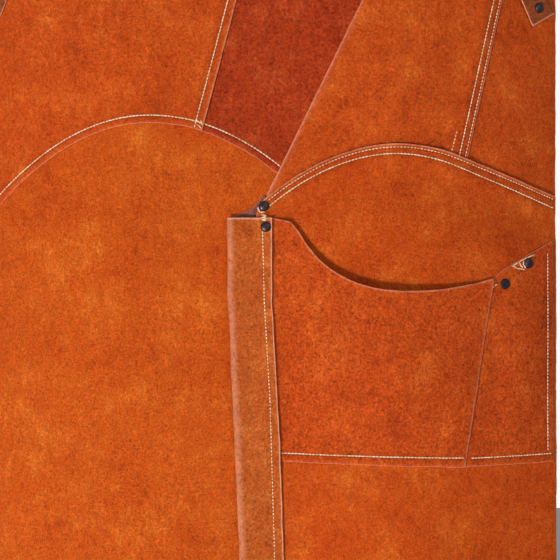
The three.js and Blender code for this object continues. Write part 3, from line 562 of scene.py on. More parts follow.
facing_suede = suede_finish(
    "facing_suede", (154, 61, 17), (178, 82, 29), (196, 104, 44), (228, 168, 138),
    patch=30.0, nap_scale=430.0, contrast=0.55, coarseness=0.6, relief=0.0007)
underlap_edge = strip_down_slit(-14, 16)
underlap = hide_piece("underlap_strip", underlap_edge, -1, behind=-PITCH, seed=2.0)
declare_hide(underlap, "underlap_facing", underlap_edge, facing_suede)

# ---------------------------------------------------------------------------------------------------
# The centre panel: coarser, darker split, its foot lapped and sewn over the left leg's arch, and
# running under the left upper panel's seam and under the loose diagonal front edge.
# ---------------------------------------------------------------------------------------------------
PANEL_TOP = BIB_Z - 2


def sloping(foot, lean, start, stop, shift=0.0, step=3.0):
    """A straight seam that leans sideways as it rises, from one height above the slit to another."""
    return straight((foot + lean * start + shift, SLIT_Z + start),
                    (foot + lean * stop + shift, SLIT_Z + stop), step)


TOP = PANEL_TOP - SLIT_Z


def left_up_seam(shift=0.0, start=78.6, stop=TOP):
    return sloping(-86, 0.262, start, stop, shift)


def right_up_seam(shift=0.0, start=37.0, stop=TOP):
    return sloping(204.2, 0.231, start, stop, shift)


def front_edge(shift=0.0, start=2.0, stop=TOP):
    return sloping(-3, 0.49, start, stop, shift)


def armhole(side):
    """From the side at the waist along the waist corner's flat and up the armhole to the bib's top."""
    flat = straight((side * (HALF_WIDTH + 0.01), WAIST_Z), (side * (HALF_WIDTH - WAIST_FLAT), WAIST_Z))
    rise = bend((side * (HALF_WIDTH - WAIST_FLAT), WAIST_Z), (side * (BIB_HALF_WIDTH + 6), WAIST_Z + 26),
                (side * BIB_HALF_WIDTH, PANEL_TOP))
    return np.vstack([flat, rise[1:]])


coarse_suede = suede_finish(
    "coarse_suede", (132, 36, 10), (159, 52, 17), (180, 73, 30), (222, 146, 116),
    patch=26.0, nap_scale=420.0, contrast=0.6, coarseness=0.8, relief=0.0008)
left_arch_stitch = offset_line(along_x(left_arch(), -HALF_WIDTH, 40), 8.0)
left_up_stitch = left_up_seam(-9.0)
right_of_bib = armhole(1)
under_front, bib_rise = cut_at(front_edge(19, 18), right_of_bib)
centre_edge = outline_of(
    along_x(left_arch(), -79, under_front[0][0]),
    under_front,
    bib_rise,
    straight((BIB_HALF_WIDTH, PANEL_TOP), (42.6, PANEL_TOP)),
    left_up_seam(-15, 83)[::-1],
)
centre = hide_piece("centre_hide", centre_edge, 1, [left_arch_stitch, left_up_stitch], seed=3.0)
declare_hide(centre, "centre_panel", centre_edge, coarse_suede)

# ---------------------------------------------------------------------------------------------------
# The right side panel and the two upper panels. The upper ones lap over the centre and the side panel:
# sewn down the up-seams, and left loose with a pale cut edge along the diagonal front.
# ---------------------------------------------------------------------------------------------------
rust_suede = suede_finish(
    "rust_suede", (158, 54, 10), (184, 71, 17), (206, 98, 31), (224, 148, 118),
    patch=22.0, nap_scale=480.0, contrast=0.5, coarseness=0.5, relief=0.0006)
right_arch_line = along_x(right_arch(), -5, HALF_WIDTH)
drifting = np.interp(right_arch_line[:, 0], (-5, HALF_WIDTH), (8.6, 12.4))
right_rows = [offset_line(right_arch_line, -3.4), offset_line(right_arch_line, -drifting[:, None])]
right_up_rows = [right_up_seam(-2.4), right_up_seam(-9.2)]

side_seam, _ = cut_at(right_up_seam(-15, 42.0), right_of_bib)
right_side_edge = outline_of(
    along_x(right_arch(-LAP), side_seam[0][0], HALF_WIDTH),
    straight((HALF_WIDTH, right_arch(-LAP)(HALF_WIDTH)), (HALF_WIDTH, WAIST_Z)),
    cut_at(right_of_bib, right_up_seam(-15, 42.0))[0],
    side_seam[::-1],
)
right_side = hide_piece("right_side_hide", right_side_edge, 1, right_rows[:1] + right_up_rows, seed=4.0)
declare_hide(right_side, "right_side_panel", right_side_edge, rust_suede)

left_of_bib = armhole(-1)
left_upper_edge = outline_of(
    along_x(left_arch(), -HALF_WIDTH, -64),
    left_up_seam(),
    straight((57.6, PANEL_TOP), (-BIB_HALF_WIDTH, PANEL_TOP)),
    left_of_bib[::-1],
)
left_upper = hide_piece(
    "left_upper_hide", left_upper_edge, 2, [left_arch_stitch, left_up_stitch],
    pale=[(left_up_seam(), 1.0)], lifted=[(left_up_seam(), 1.1)], seed=5.0)
declare_hide(left_upper, "left_upper_panel", left_upper_edge, rust_suede)

nicks = [straight((174, SLIT_Z + 66), (181, SLIT_Z + 71), 0.7),
         straight((183, SLIT_Z + 79), (188, SLIT_Z + 76), 0.7),
         straight((187, SLIT_Z + 68), (190, SLIT_Z + 63), 0.7)]
front_cut, _ = cut_at(front_edge(0, 2.0), right_of_bib)
up_cut, between = cut_at(right_up_seam(), right_of_bib)
between, _ = cut_at(between, front_edge(0, 2.0))
right_upper_edge = outline_of(
    straight((-2, SLIT_Z + 2), (-2, SLIT_Z - 10)),
    straight((-2, SLIT_Z - 10), (20, right_arch(-LAP)(20))),
    along_x(right_arch(-LAP), 20, up_cut[0][0]),
    up_cut,
    between,
    front_cut[::-1],
)
right_upper = hide_piece(
    "right_upper_hide", right_upper_edge, 2, right_rows[:1] + right_up_rows,
    pale=[(front_edge(0.6, 2.0, 330), 1.7)], nicks=nicks,
    lifted=[(front_edge(0, 2.0, 330), 0.8), (right_up_seam(0, 37, 240), 0.9)], seed=6.0)
declare_hide(right_upper, "right_upper_panel", right_upper_edge, rust_suede)

# ---------------------------------------------------------------------------------------------------
# The slit's top: a small reinforcement on the left leg, the facing's return, then the right leg panel,
# whose arch laps over the upper panels and is sewn down with two rows.
# ---------------------------------------------------------------------------------------------------
patch_edge = outline_of(
    straight((-38, SLIT_Z - 13), (14, SLIT_Z - 30), 2.0),
    straight((14, SLIT_Z - 30), (14, SLIT_Z + 10), 2.0),
    straight((14, SLIT_Z + 10), (-2, SLIT_Z + 10), 2.0),
    bend((-2, SLIT_Z + 10), (-10, SLIT_Z - 5), (-20, SLIT_Z - 5.5), (-38, SLIT_Z - 13), step=1.5),
)
# Its grey-purple is the flesh side, darkened with painted shade for the sliver in shadow at the slit's top.
shadow_suede = suede_finish(
    "reinforcement_flesh_and_shade", (96, 48, 44), (122, 66, 58), (150, 92, 80), (176, 132, 124),
    patch=60.0, nap_scale=430.0, contrast=0.5, coarseness=0.6, relief=0.0006)
reinforcement = hide_piece("slit_patch", patch_edge, 1, spacing=3.0, seed=7.0)
declare_hide(reinforcement, "slit_reinforcement", patch_edge, shadow_suede)

deep_suede = suede_finish(
    "right_leg_suede", (165, 53, 10), (184, 71, 15), (204, 98, 29), (226, 152, 118), contrast=0.42)
FACING_LEFT = -36.0
FACING_RIGHT = 8.6
# How far the facing's fold, sewn row and raw edge lie from the slit, at a few drops below its top.
FOLD_PLACES = ((0, -38.3), (90, -40.0), (130, -38.8), (345, -34.6), (520, -34.4))
SEWN_PLACES = ((24, -2.1), (99, -2.1), (204, 1.4), (345, 2.2))
RAW_PLACES = ((12, 8.0), (99, 6.0), (246, 10.6), (345, 11.6))


def beside_slit(places, z):
    drops, offsets = zip(*places)
    return slit_x(z) + np.interp(SLIT_Z - z, drops, offsets)


stitch_drop = np.arange(SLIT_Z - 24, HEM_Z + 4, -3.0)
facing_stitch = np.column_stack([beside_slit(SEWN_PLACES, stitch_drop), stitch_drop])
return_edge = strip_down_slit(FACING_LEFT, FACING_LEFT + 30)
return_back = lay_down("facing_return", return_edge, 2, [facing_stitch])

right_leg_edge = outline_of(
    straight((slit_x(HEM_Z) - 34, HEM_Z), (-33.5, SLIT_Z - 15)),
    straight((-33.5, SLIT_Z - 15), (-9, SLIT_Z - 15), 2.0),
    straight((-9, SLIT_Z - 15), (-5, SLIT_Z + 2), 2.0),
    along_x(right_arch(), -5, HALF_WIDTH),
    straight((HALF_WIDTH, right_arch()(HALF_WIDTH)), (HALF_WIDTH, HEM_Z + HEM_CORNER)),
    corner((HALF_WIDTH - HEM_CORNER, HEM_Z + HEM_CORNER), HEM_CORNER, 0, -90),
    straight((HALF_WIDTH - HEM_CORNER, HEM_Z), (slit_x(HEM_Z) - 34, HEM_Z)),
)
right_leg = hide_piece(
    "right_leg_hide", right_leg_edge, 3, right_rows + [facing_stitch],
    pale=[(right_arch_line, 1.0)], lifted=[(right_arch_line, 1.9)], seed=8.0)
declare_hide(right_leg, "right_leg_panel", right_leg_edge, deep_suede)

# ---------------------------------------------------------------------------------------------------
# The pockets: a coarse front patch with a swooping open mouth, sewn along its foot and at the slit,
# and a side compartment whose top runs on up to the corner rivet. Both stand off the leg a little.
# ---------------------------------------------------------------------------------------------------
POCKET_FOOT = SLIT_Z - 276
POCKET_MOUTH = SLIT_Z - 80
SIDE_POCKET_MOUTH = SLIT_Z - 62


def swell(height, left, right, mouth, is_open):
    """How far a pocket stands off: nothing at its sewn edges, most in the middle."""
    def stand_off(x, z):
        across = np.clip((x - left) / (right - left), 0, 1)
        up = np.clip((z - POCKET_FOOT - 8) / (mouth - POCKET_FOOT - 8), 0, 1)
        rise = np.sin(math.pi / 2 * np.minimum(1, up * 1.6)) if is_open else np.sin(math.pi * up)
        return height * np.sin(math.pi * across) * rise
    return stand_off


side_pocket_edge = outline_of(
    straight((193, POCKET_FOOT), (HALF_WIDTH - 4, POCKET_FOOT)),
    straight((HALF_WIDTH - 4, POCKET_FOOT), (HALF_WIDTH - 4, SLIT_Z - 34)),
    bend((HALF_WIDTH - 4, SLIT_Z - 34), (290, SLIT_Z - 48), (265.5, SLIT_Z - 61)),
    bend((265.5, SLIT_Z - 61), (252, SLIT_Z - 68), (225, SLIT_Z - 92)),
    straight((225, SLIT_Z - 96), (193, POCKET_FOOT)),
)
foot_stitch = straight((8, SLIT_Z - 259.4), (213.5, SLIT_Z - 266))
side_foot_stitch = straight((222, SLIT_Z - 267), (HALF_WIDTH - 8, SLIT_Z - 267))
side_edge_stitch = straight((HALF_WIDTH - 11, SLIT_Z - 262), (HALF_WIDTH - 11, SLIT_Z - 50))
pocket_suede = suede_finish(
    "pocket_suede", (153, 50, 12), (181, 68, 17), (201, 90, 28), (226, 150, 118),
    patch=24.0, nap_scale=430.0, contrast=0.6, coarseness=0.8, relief=0.0008)
side_pocket = hide_piece(
    "side_pocket_hide", side_pocket_edge, 4, [side_foot_stitch, side_edge_stitch],
    bulge=swell(4.5, 250, HALF_WIDTH - 8, SIDE_POCKET_MOUTH, False), seed=9.0)
declare_hide(side_pocket, "side_pocket", side_pocket_edge, pocket_suede)

pocket_edge = outline_of(
    straight((2, SLIT_Z - 268), (213, POCKET_FOOT)),
    straight((213, POCKET_FOOT), (245, SLIT_Z - 76)),
    bend((245, SLIT_Z - 76), (190, SLIT_Z - 91), (143, SLIT_Z - 89)),
    bend((143, SLIT_Z - 89), (95, SLIT_Z - 88), (62, SLIT_Z - 66), (46, SLIT_Z - 42)),
    bend((46, SLIT_Z - 42), (36, SLIT_Z - 26), (28.5, SLIT_Z - 17)),
    straight((28.5, SLIT_Z - 17), (2, SLIT_Z - 10.8)),
    straight((2, SLIT_Z - 10.8), (2, SLIT_Z - 268)),
)
pocket_x, pocket_z = pocket_edge.T
mouth_line = pocket_edge[(pocket_z > SLIT_Z - 93) & (pocket_x > 12) & (pocket_x < 244)]
pocket = hide_piece(
    "front_pocket_hide", pocket_edge, 5, [foot_stitch, facing_stitch],
    pale=[(straight((213, POCKET_FOOT), (244.6, SLIT_Z - 78)), 1.6), (mouth_line, 1.0)],
    lifted=[(mouth_line, 1.2)],
    bulge=swell(9.0, 30, 232, POCKET_MOUTH, True), seed=10.0)
declare_hide(pocket, "front_pocket", pocket_edge, pocket_suede)

# ---------------------------------------------------------------------------------------------------
# The slit facing: a strip folded round the right leg's inner edge, with a wide flange in front, the
# fold at its left and a shorter return behind. The flange covers the pocket's left edge.
# ---------------------------------------------------------------------------------------------------
flange_edge = strip_down_slit(FACING_LEFT, FACING_RIGHT)
flange_back = lay_down("facing_flange", flange_edge, 6, [facing_stitch])


RIM_SHARE = 0.55


def strip_piece(name, middle, thickness, wear_and_highlight_columns=None):
    """A strip of hide from its middle surface, a grid of points: thick, with rounded cut edges."""
    along = np.gradient(middle, axis=0)
    across = np.gradient(middle, axis=1)
    out = np.cross(across, along)
    out /= np.linalg.norm(out, axis=2)[:, :, None] + 1e-12
    rows, columns = middle.shape[:2]
    row, column = np.meshgrid(np.arange(rows), np.arange(columns), indexing="ij")
    on_rim = (row == 0) | (row == rows - 1) | (column == 0) | (column == columns - 1)
    half = np.where(on_rim, RIM_SHARE, 1.0) * thickness / 2
    offset = out * half[:, :, None]
    points = np.vstack([(middle + offset).reshape(-1, 3), (middle - offset).reshape(-1, 3)])
    count = rows * columns
    faces = []
    for r in range(rows - 1):
        for c in range(columns - 1):
            a = r * columns + c
            faces.append((a, a + columns, a + columns + 1, a + 1))
    faces = [f[::-1] for f in faces]
    polygons = faces + [tuple(count + k for k in reversed(f)) for f in faces]
    polygons += [(b, a, count + a, count + b) for a, b in border_edges(faces)]
    piece = mesh_piece(name, points * MM, polygons)
    # Listed columns are paled as wear and painted highlight, the rim as raw edge.
    worn = np.zeros((rows, columns)) if wear_and_highlight_columns is None else np.tile(wear_and_highlight_columns, (rows, 1))
    worn = np.maximum(worn, on_rim.astype(float))
    paint(piece, "raw_edge", np.tile(worn.ravel(), 2))
    paint(piece, "sewn", np.zeros(2 * count))
    paint(piece, "nick", np.zeros(2 * count))
    return piece


FOLD_STEPS = 7
facing_rows = []
for z in np.arange(HEM_Z + 1, FACING_TOP, 4.0).tolist() + [FACING_TOP - 0.5]:
    ripple = 0.7 * noise.noise((z / 37, 0.0, 3.0)) + 0.3 * noise.noise((z / 9, 0.0, 5.0))
    left = beside_slit(FOLD_PLACES, z) + ripple
    right = beside_slit(RAW_PLACES, z) + 0.6 * noise.noise((z / 21, 4.0, 3.0))
    sewn_x = beside_slit(SEWN_PLACES, z)
    front_x = np.concatenate([np.linspace(right, sewn_x + 1.6, 6), np.linspace(sewn_x, left + 6, 16)])
    front_depth = sample(flange_back, front_x, np.full(len(front_x), z)) + HIDE / 2
    front_depth += 1.5 * np.exp(-(right - front_x) / 2.5)
    return_x = np.linspace(left + 6, left + 30, 9)
    return_depth = sample(return_back, return_x, np.full(9, z)) + HIDE / 2
    top_depth, low_depth = front_depth[-1], return_depth[0]
    turn = np.linspace(0, math.pi, FOLD_STEPS + 2)[1:-1]
    fold_x = left + 6 - 5.8 * np.sin(turn) ** 0.7
    fold_depth = (top_depth + low_depth) / 2 + (top_depth - low_depth) / 2 * np.cos(turn)
    xs = np.concatenate([front_x, fold_x, return_x])
    depths = np.concatenate([front_depth, fold_depth, return_depth])
    level_z = np.full(len(xs), z)
    facing_rows.append(np.column_stack([xs, hang_form(xs, level_z) - depths, level_z]))
# The facing's fold is paled: partly wear, partly a painted highlight where the rounded fold meets the light.
fold_wear_and_highlight = np.concatenate([np.zeros(21), [0.12], np.full(FOLD_STEPS, 0.3), np.zeros(9)])
facing = strip_piece("slit_facing_hide", np.array(facing_rows), HIDE, wear_and_highlight_columns=fold_wear_and_highlight)
facing.data.materials.append(facing_suede)
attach(facing, BODY)
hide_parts("slit_facing")

# ---------------------------------------------------------------------------------------------------
# The bib's top hem: a strip of strap hide folded over the top edge and sewn through with two rows.
# ---------------------------------------------------------------------------------------------------
BIB_HEM = 32.0
strap_suede = suede_finish(
    "strap_suede", (112, 50, 24), (140, 66, 32), (166, 88, 48), (214, 158, 126),
    patch=40.0, nap_scale=460.0, contrast=0.5, coarseness=0.5, relief=0.0005)
hem_xs = np.linspace(-BIB_HALF_WIDTH, BIB_HALF_WIDTH, 90)
turn = np.linspace(0, math.pi, 9)
depth_mid, depth_half = 3 * PITCH / 2 + HIDE / 2, 3 * PITCH / 2
down = np.linspace(BIB_HEM, 4, 12)
section = [(depth_mid + depth_half, d) for d in down]
section += [(depth_mid + depth_half * math.cos(t), 4 - 3.0 * math.sin(t)) for t in turn[1:-1]]
section += [(depth_mid - depth_half, d) for d in down[::-1]]
hem_grid = np.array([[(x, float(hang_form(x, BIB_Z)) - depth, BIB_Z - below) for depth, below in section]
                     for x in hem_xs])
hem = strip_piece("bib_hem_strip", hem_grid, HIDE)
hem.data.materials.append(strap_suede)
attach(hem, BODY)
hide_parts("bib_top_hem")

# ---------------------------------------------------------------------------------------------------
# The harness straps: strap hide 32 mm wide. Short ones stand up from the bib's corners, long ones run
# from their sliders over the neck, cross behind and loop round the snap hooks' eyes.
# ---------------------------------------------------------------------------------------------------
STRAP = 2.4
STRAP_WIDTH = 32.0
STRAP_GAP = 0.4
RAIL_RADIUS = 14.0
RAIL_SPREAD = 46.0
BIB_STRAP_RISE = 150.0
STRAP_INSET = 32.0
HEM_REACH = -46.0
bib_strap_depth = 4 * PITCH + STRAP / 2
long_strap_depth = bib_strap_depth + STRAP + STRAP_GAP
rail_bend = RAIL_RADIUS + STRAP / 2
rail_y = rail_bend - long_strap_depth
SIDES = ((-1, "left"), (1, "right"))


def unit(v):
    return v / np.linalg.norm(v)


def front_line(side):
    """Where a shoulder strap starts on the bib, the way it runs up, and its width's direction."""
    foot = np.array([side * (BIB_HALF_WIDTH - STRAP_INSET), 0, BIB_Z])
    along = unit(np.array([side * RAIL_SPREAD, 0, -RAIL_RADIUS]) - foot)
    return foot, along, np.array([along[2], 0, -along[0]])


def rail_rear(waist_side):
    return np.array([-waist_side * RAIL_SPREAD, rail_y + rail_bend, -RAIL_RADIUS])


RING_ABOVE_EDGE = 17.0
RING_RISE = 20.0
EYE_RISE = 68.0
WIRE = 2.0


def waist_frames(side):
    """The ring's lower bar, its direction, the way up the tab and the way up the snap hook."""
    x = side * (HALF_WIDTH - WAIST_FLAT / 2)
    depth = (2 if side < 0 else 1) * PITCH + 0.8
    reach = HALF_WIDTH - FLAT_HALF_WIDTH
    slope = 2 * SIDE_CURL * (abs(x) - FLAT_HALF_WIDTH) / reach**2 * np.sign(x)
    curl = SIDE_CURL * ((abs(x) - FLAT_HALF_WIDTH) / reach) ** 2
    place = np.array([x, curl - depth, WAIST_Z])
    inward = unit(np.array([-slope, 1, 0]))
    across = unit(np.cross(inward, rail_rear(side) - place))
    up_tab = np.cross(across, inward)
    bar = place + up_tab * RING_ABOVE_EDGE
    up_hook = rail_rear(side) - bar
    up_hook = unit(up_hook - across * np.dot(up_hook, across))
    return bar, across, inward, up_tab, up_hook


def resampled(points, widths, step):
    """A strap's centre line and width directions at even steps."""
    points, widths = np.array(points), np.array(widths)
    run = np.concatenate([[0], np.cumsum(np.linalg.norm(np.diff(points, axis=0), axis=1))])
    count = int(run[-1] / step) + 1
    at = np.linspace(0, run[-1], count)
    line = np.column_stack([np.interp(at, run, points[:, k]) for k in range(3)])
    sideways = np.column_stack([np.interp(at, run, widths[:, k]) for k in range(3)])
    return line, sideways


def strap_grid(points, widths, width, step=4.0):
    line, sideways = resampled(points, widths, step)
    tangent = np.gradient(line, axis=0)
    tangent /= np.linalg.norm(tangent, axis=1)[:, None]
    sideways = sideways - tangent * np.sum(sideways * tangent, axis=1)[:, None]
    sideways /= np.linalg.norm(sideways, axis=1)[:, None]
    edge = np.array([0.0, 0.02, 0.105, 0.125, 0.145, 0.3, 0.5, 0.7, 0.855, 0.875, 0.895, 0.98, 1.0])
    share = (edge - 0.5) * width
    return line[:, None, :] + sideways[:, None, :] * share[None, :, None]


def long_strap_path(side):
    foot, along, across = front_line(side)
    bar, eye_across, _, _, up_hook = waist_frames(-side)
    eye = bar + up_hook * EYE_RISE
    rear = rail_rear(-side)
    approach = eye + up_hook * 60
    down = approach - rear
    down[1] = 0
    down = unit(down)
    rear_across = np.array([-down[2], 0, down[0]])
    points, widths = [], []
    for rise in (18.0, 84.0, BIB_STRAP_RISE):
        points.append(foot + along * rise - np.array([0, long_strap_depth, 0]))
        widths.append(across)
    for k in range(25):
        share = k / 24
        turn = math.pi * (1 - share)
        points.append(np.array([side * RAIL_SPREAD, rail_y + rail_bend * math.cos(turn),
                                -RAIL_RADIUS + rail_bend * math.sin(turn)]))
        widths.append(across + (rear_across - across) * share)
    run = rear[0] - approach[0]
    for k in range(1, 42):
        share = k / 42
        point = rear + (approach - rear) * share
        clear = smooth_step(2 * (1 - abs(point[0]) / abs(run) / 0.3))
        point[1] += side * ((STRAP + 3 * STRAP_GAP) / 2) * clear
        points.append(point)
        widths.append(rear_across + (eye_across - rear_across) * max(0.0, (share - 0.35) / 0.65))
    inward = np.cross(up_hook, eye_across)
    back = STRAP / 2 + STRAP_GAP / 2
    loop_bend = WIRE + 0.35 + STRAP / 2
    loop = [(back, 60), (back, 30), (back, 11), (loop_bend, 3)]
    loop += [(loop_bend * math.cos(t), -loop_bend * math.sin(t)) for t in np.linspace(0, math.pi, 13)]
    loop += [(-loop_bend, 3), (-back, 11), (-back, 46)]
    for out, rise in loop:
        points.append(eye + inward * out + up_hook * rise)
        widths.append(eye_across)
    return points, widths


strap_paths = {}
for side, word in SIDES:
    foot, along, across = front_line(side)
    points = [foot + along * rise - np.array([0, bib_strap_depth, 0])
              for rise in (HEM_REACH, 50, BIB_STRAP_RISE)]
    strap_paths[f"{word}_bib_strap"] = (points, [across] * 3)
    strap_paths[f"{word}_harness_strap"] = long_strap_path(side)
for node, (points, widths) in strap_paths.items():
    grid = strap_grid(points, widths, STRAP_WIDTH)
    strap = strip_piece(node + "_hide", grid, STRAP)
    strap.data.materials.append(strap_suede)
    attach(strap, BODY)
    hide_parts(node)
    length = float(np.sum(np.linalg.norm(np.diff(grid[:, 6], axis=0), axis=1)))

# ---------------------------------------------------------------------------------------------------
# The waist tabs: short folds of strap hide that straddle the waist corners and hold the rings.
# ---------------------------------------------------------------------------------------------------
TAB_WIDTH = 34.0
TAB_LEG = 50.0
TAB_LEG_OFFSET = 2.8
tab_loop = WIRE + 0.35 + 0.8
for side, word in SIDES:
    bar, across, inward, up_tab, _ = waist_frames(side)
    profile = [(TAB_LEG_OFFSET, -TAB_LEG), (TAB_LEG_OFFSET, -30), (TAB_LEG_OFFSET, -9), (tab_loop, -3)]
    profile += [(tab_loop * math.cos(t), tab_loop * math.sin(t)) for t in np.linspace(0, math.pi, 13)]
    profile += [(-tab_loop, -3), (-TAB_LEG_OFFSET, -9), (-TAB_LEG_OFFSET, -30), (-TAB_LEG_OFFSET, -TAB_LEG)]
    points = [bar + inward * out + up_tab * rise for out, rise in profile]
    grid = strap_grid(points, [across] * len(points), TAB_WIDTH, step=2.0)
    tab = strip_piece(f"{word}_waist_tab_hide", grid, 1.6)
    tab.data.materials.append(strap_suede)
    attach(tab, BODY)
    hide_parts(f"{word}_waist_tab")
    length = float(np.sum(np.linalg.norm(np.diff(grid[:, 6], axis=0), axis=1)))

# ---------------------------------------------------------------------------------------------------
# The thread: waxed cream cotton, lock stitched through every lap. Each row is a line on the hide, and
# a Geometry Nodes tree lays one short arched stitch on it every few millimetres.
# ---------------------------------------------------------------------------------------------------
cotton = bpy.data.materials.new("waxed_cotton")
cotton.use_nodes = True
tree = cotton.node_tree
shader = tree.nodes["Principled BSDF"]
where = tree.nodes.new("ShaderNodeTexCoord").outputs["Object"]
soiling = noise_of(tree, where, 140.0, 3.0, 0.6)
colour = mixed(tree, remapped(tree, soiling, 0.4, 0.66), linear(252, 238, 206), linear(226, 190, 140))
twist = noise_of(tree, where, 2400.0, 2.0, 0.5)
colour = mixed(tree, remapped(tree, twist, 0.3, 0.7, 0.0, 0.25), colour, linear(170, 130, 90))
tree.links.new(colour, shader.inputs["Base Color"])
tree.links.new(remapped(tree, twist, 0.3, 0.7, 0.55, 0.8), shader.inputs["Roughness"])
bump = tree.nodes.new("ShaderNodeBump")
bump.inputs["Distance"].default_value = 0.0002
tree.links.new(twist, bump.inputs["Height"])
tree.links.new(bump.outputs[0], shader.inputs["Normal"])
shader.inputs["Sheen Weight"].default_value = 0.1

stitching, given, result = group_tree(
    "lock_stitching",
    [("Rows", "NodeSocketGeometry"), ("Pitch", "NodeSocketFloat", 0.0037),
     ("Stitch Length", "NodeSocketFloat", 0.003),
     ("Thread Radius", "NodeSocketFloat", 0.00068), ("Arch", "NodeSocketFloat", 0.0012),
     ("Seed", "NodeSocketInt", 1), ("Thread", "NodeSocketMaterial")],
    [("Stitches", "NodeSocketGeometry")],
    "GeometryNodeTree",
)


def joined_up(tree, *links):
    for source, target in links:
        tree.links.new(source, target)


as_curve = stitching.nodes.new("GeometryNodeMeshToCurve")
steps = stitching.nodes.new("GeometryNodeResampleCurve")
steps.mode = "LENGTH"
heading = stitching.nodes.new("GeometryNodeInputTangent")
away = stitching.nodes.new("GeometryNodeInputNamedAttribute")
away.data_type = "FLOAT_VECTOR"
away.inputs["Name"].default_value = "away"
turn_x = stitching.nodes.new("FunctionNodeAlignRotationToVector")
turn_x.axis = "X"
turn_z = stitching.nodes.new("FunctionNodeAlignRotationToVector")
turn_z.axis = "Z"
turn_z.pivot_axis = "X"
jitter = stitching.nodes.new("FunctionNodeRandomValue")
jitter.data_type = "FLOAT_VECTOR"
jitter.inputs[0].default_value = (-0.05, -0.05, -0.11)
jitter.inputs[1].default_value = (0.05, 0.05, 0.11)
sway = stitching.nodes.new("FunctionNodeRotateRotation")
sway.rotation_space = "LOCAL"
stitch_size = stitching.nodes.new("FunctionNodeRandomValue")
stitch_size.data_type = "FLOAT"
stitch_size.inputs[2].default_value = 0.86
stitch_size.inputs[3].default_value = 1.1
half_length = math_node(stitching, "MULTIPLY", given["Stitch Length"], 0.5)
minus_half = math_node(stitching, "MULTIPLY", given["Stitch Length"], -0.5)
dip = math_node(stitching, "MULTIPLY", given["Thread Radius"], -0.9)
ends = []
for reach, rise in ((minus_half, dip), (0.0, given["Arch"]), (half_length, dip)):
    place = stitching.nodes.new("ShaderNodeCombineXYZ")
    for socket, value in ((place.inputs[0], reach), (place.inputs[2], rise)):
        if isinstance(value, float):
            socket.default_value = value
        else:
            stitching.links.new(value, socket)
    ends.append(place.outputs[0])
arc = stitching.nodes.new("GeometryNodeCurveQuadraticBezier")
arc.inputs["Resolution"].default_value = 4
ring = stitching.nodes.new("GeometryNodeCurvePrimitiveCircle")
ring.inputs["Resolution"].default_value = 6
sweep = stitching.nodes.new("GeometryNodeCurveToMesh")
sweep.inputs["Fill Caps"].default_value = True
soft = stitching.nodes.new("GeometryNodeSetShadeSmooth")
laid_on = stitching.nodes.new("GeometryNodeInstanceOnPoints")
real = stitching.nodes.new("GeometryNodeRealizeInstances")
coat = stitching.nodes.new("GeometryNodeSetMaterial")
joined_up(
    stitching,
    (given["Rows"], as_curve.inputs["Mesh"]),
    (as_curve.outputs[0], steps.inputs["Curve"]),
    (given["Pitch"], steps.inputs["Length"]),
    (steps.outputs[0], laid_on.inputs["Points"]),
    (heading.outputs[0], turn_x.inputs["Vector"]),
    (turn_x.outputs[0], turn_z.inputs["Rotation"]),
    (away.outputs[0], turn_z.inputs["Vector"]),
    (given["Seed"], jitter.inputs["Seed"]),
    (given["Seed"], stitch_size.inputs["Seed"]),
    (turn_z.outputs[0], sway.inputs[0]),
    (jitter.outputs[0], sway.inputs[1]),
    (sway.outputs[0], laid_on.inputs["Rotation"]),
    (stitch_size.outputs[1], laid_on.inputs["Scale"]),
    (ends[0], arc.inputs["Start"]),
    (ends[1], arc.inputs["Middle"]),
    (ends[2], arc.inputs["End"]),
    (given["Thread Radius"], ring.inputs["Radius"]),
    (arc.outputs[0], sweep.inputs["Curve"]),
    (ring.outputs[0], sweep.inputs["Profile Curve"]),
    (sweep.outputs[0], soft.inputs[0]),
    (soft.outputs[0], laid_on.inputs["Instance"]),
    (laid_on.outputs[0], real.inputs[0]),
    (real.outputs[0], coat.inputs["Geometry"]),
    (given["Thread"], coat.inputs["Material"]),
    (coat.outputs[0], result["Stitches"]),
)


def made_plain(name, rows, tree, inputs, body):
    """Rows of (points, directions away from the hide), in millimetres, through a tree to a plain mesh."""
    points, links, away_from = [], [], []
    for line, directions in rows:
        start = len(points)
        points += [tuple(p * MM) for p in line]
        away_from += [tuple(d) for d in directions]
        links += [(start + k, start + k + 1) for k in range(len(line) - 1)]
    guide_mesh = bpy.data.meshes.new(name + "_guide")
    guide_mesh.from_pydata(points, links, [])
    layer = guide_mesh.attributes.new("away", "FLOAT_VECTOR", "POINT")
    layer.data.foreach_set("vector", np.array(away_from, np.float32).ravel())
    guide = bpy.data.objects.new(name + "_guide", guide_mesh)
    bpy.context.scene.collection.objects.link(guide)
    modifier = guide.modifiers.new("made", "NODES")
    modifier.node_group = tree
    for item in tree.interface.items_tree:
        if item.in_out == "INPUT" and item.name in inputs:
            modifier[item.identifier] = inputs[item.name]
    depsgraph = bpy.context.evaluated_depsgraph_get()
    mesh = bpy.data.meshes.new_from_object(guide.evaluated_get(depsgraph), depsgraph=depsgraph)
    guide.modifiers.remove(modifier)
    bpy.data.objects.remove(guide)
    bpy.data.meshes.remove(guide_mesh)
    mesh.name = name
    piece = bpy.data.objects.new(name, mesh)
    bpy.context.scene.collection.objects.link(piece)
    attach(piece, body)
    return piece


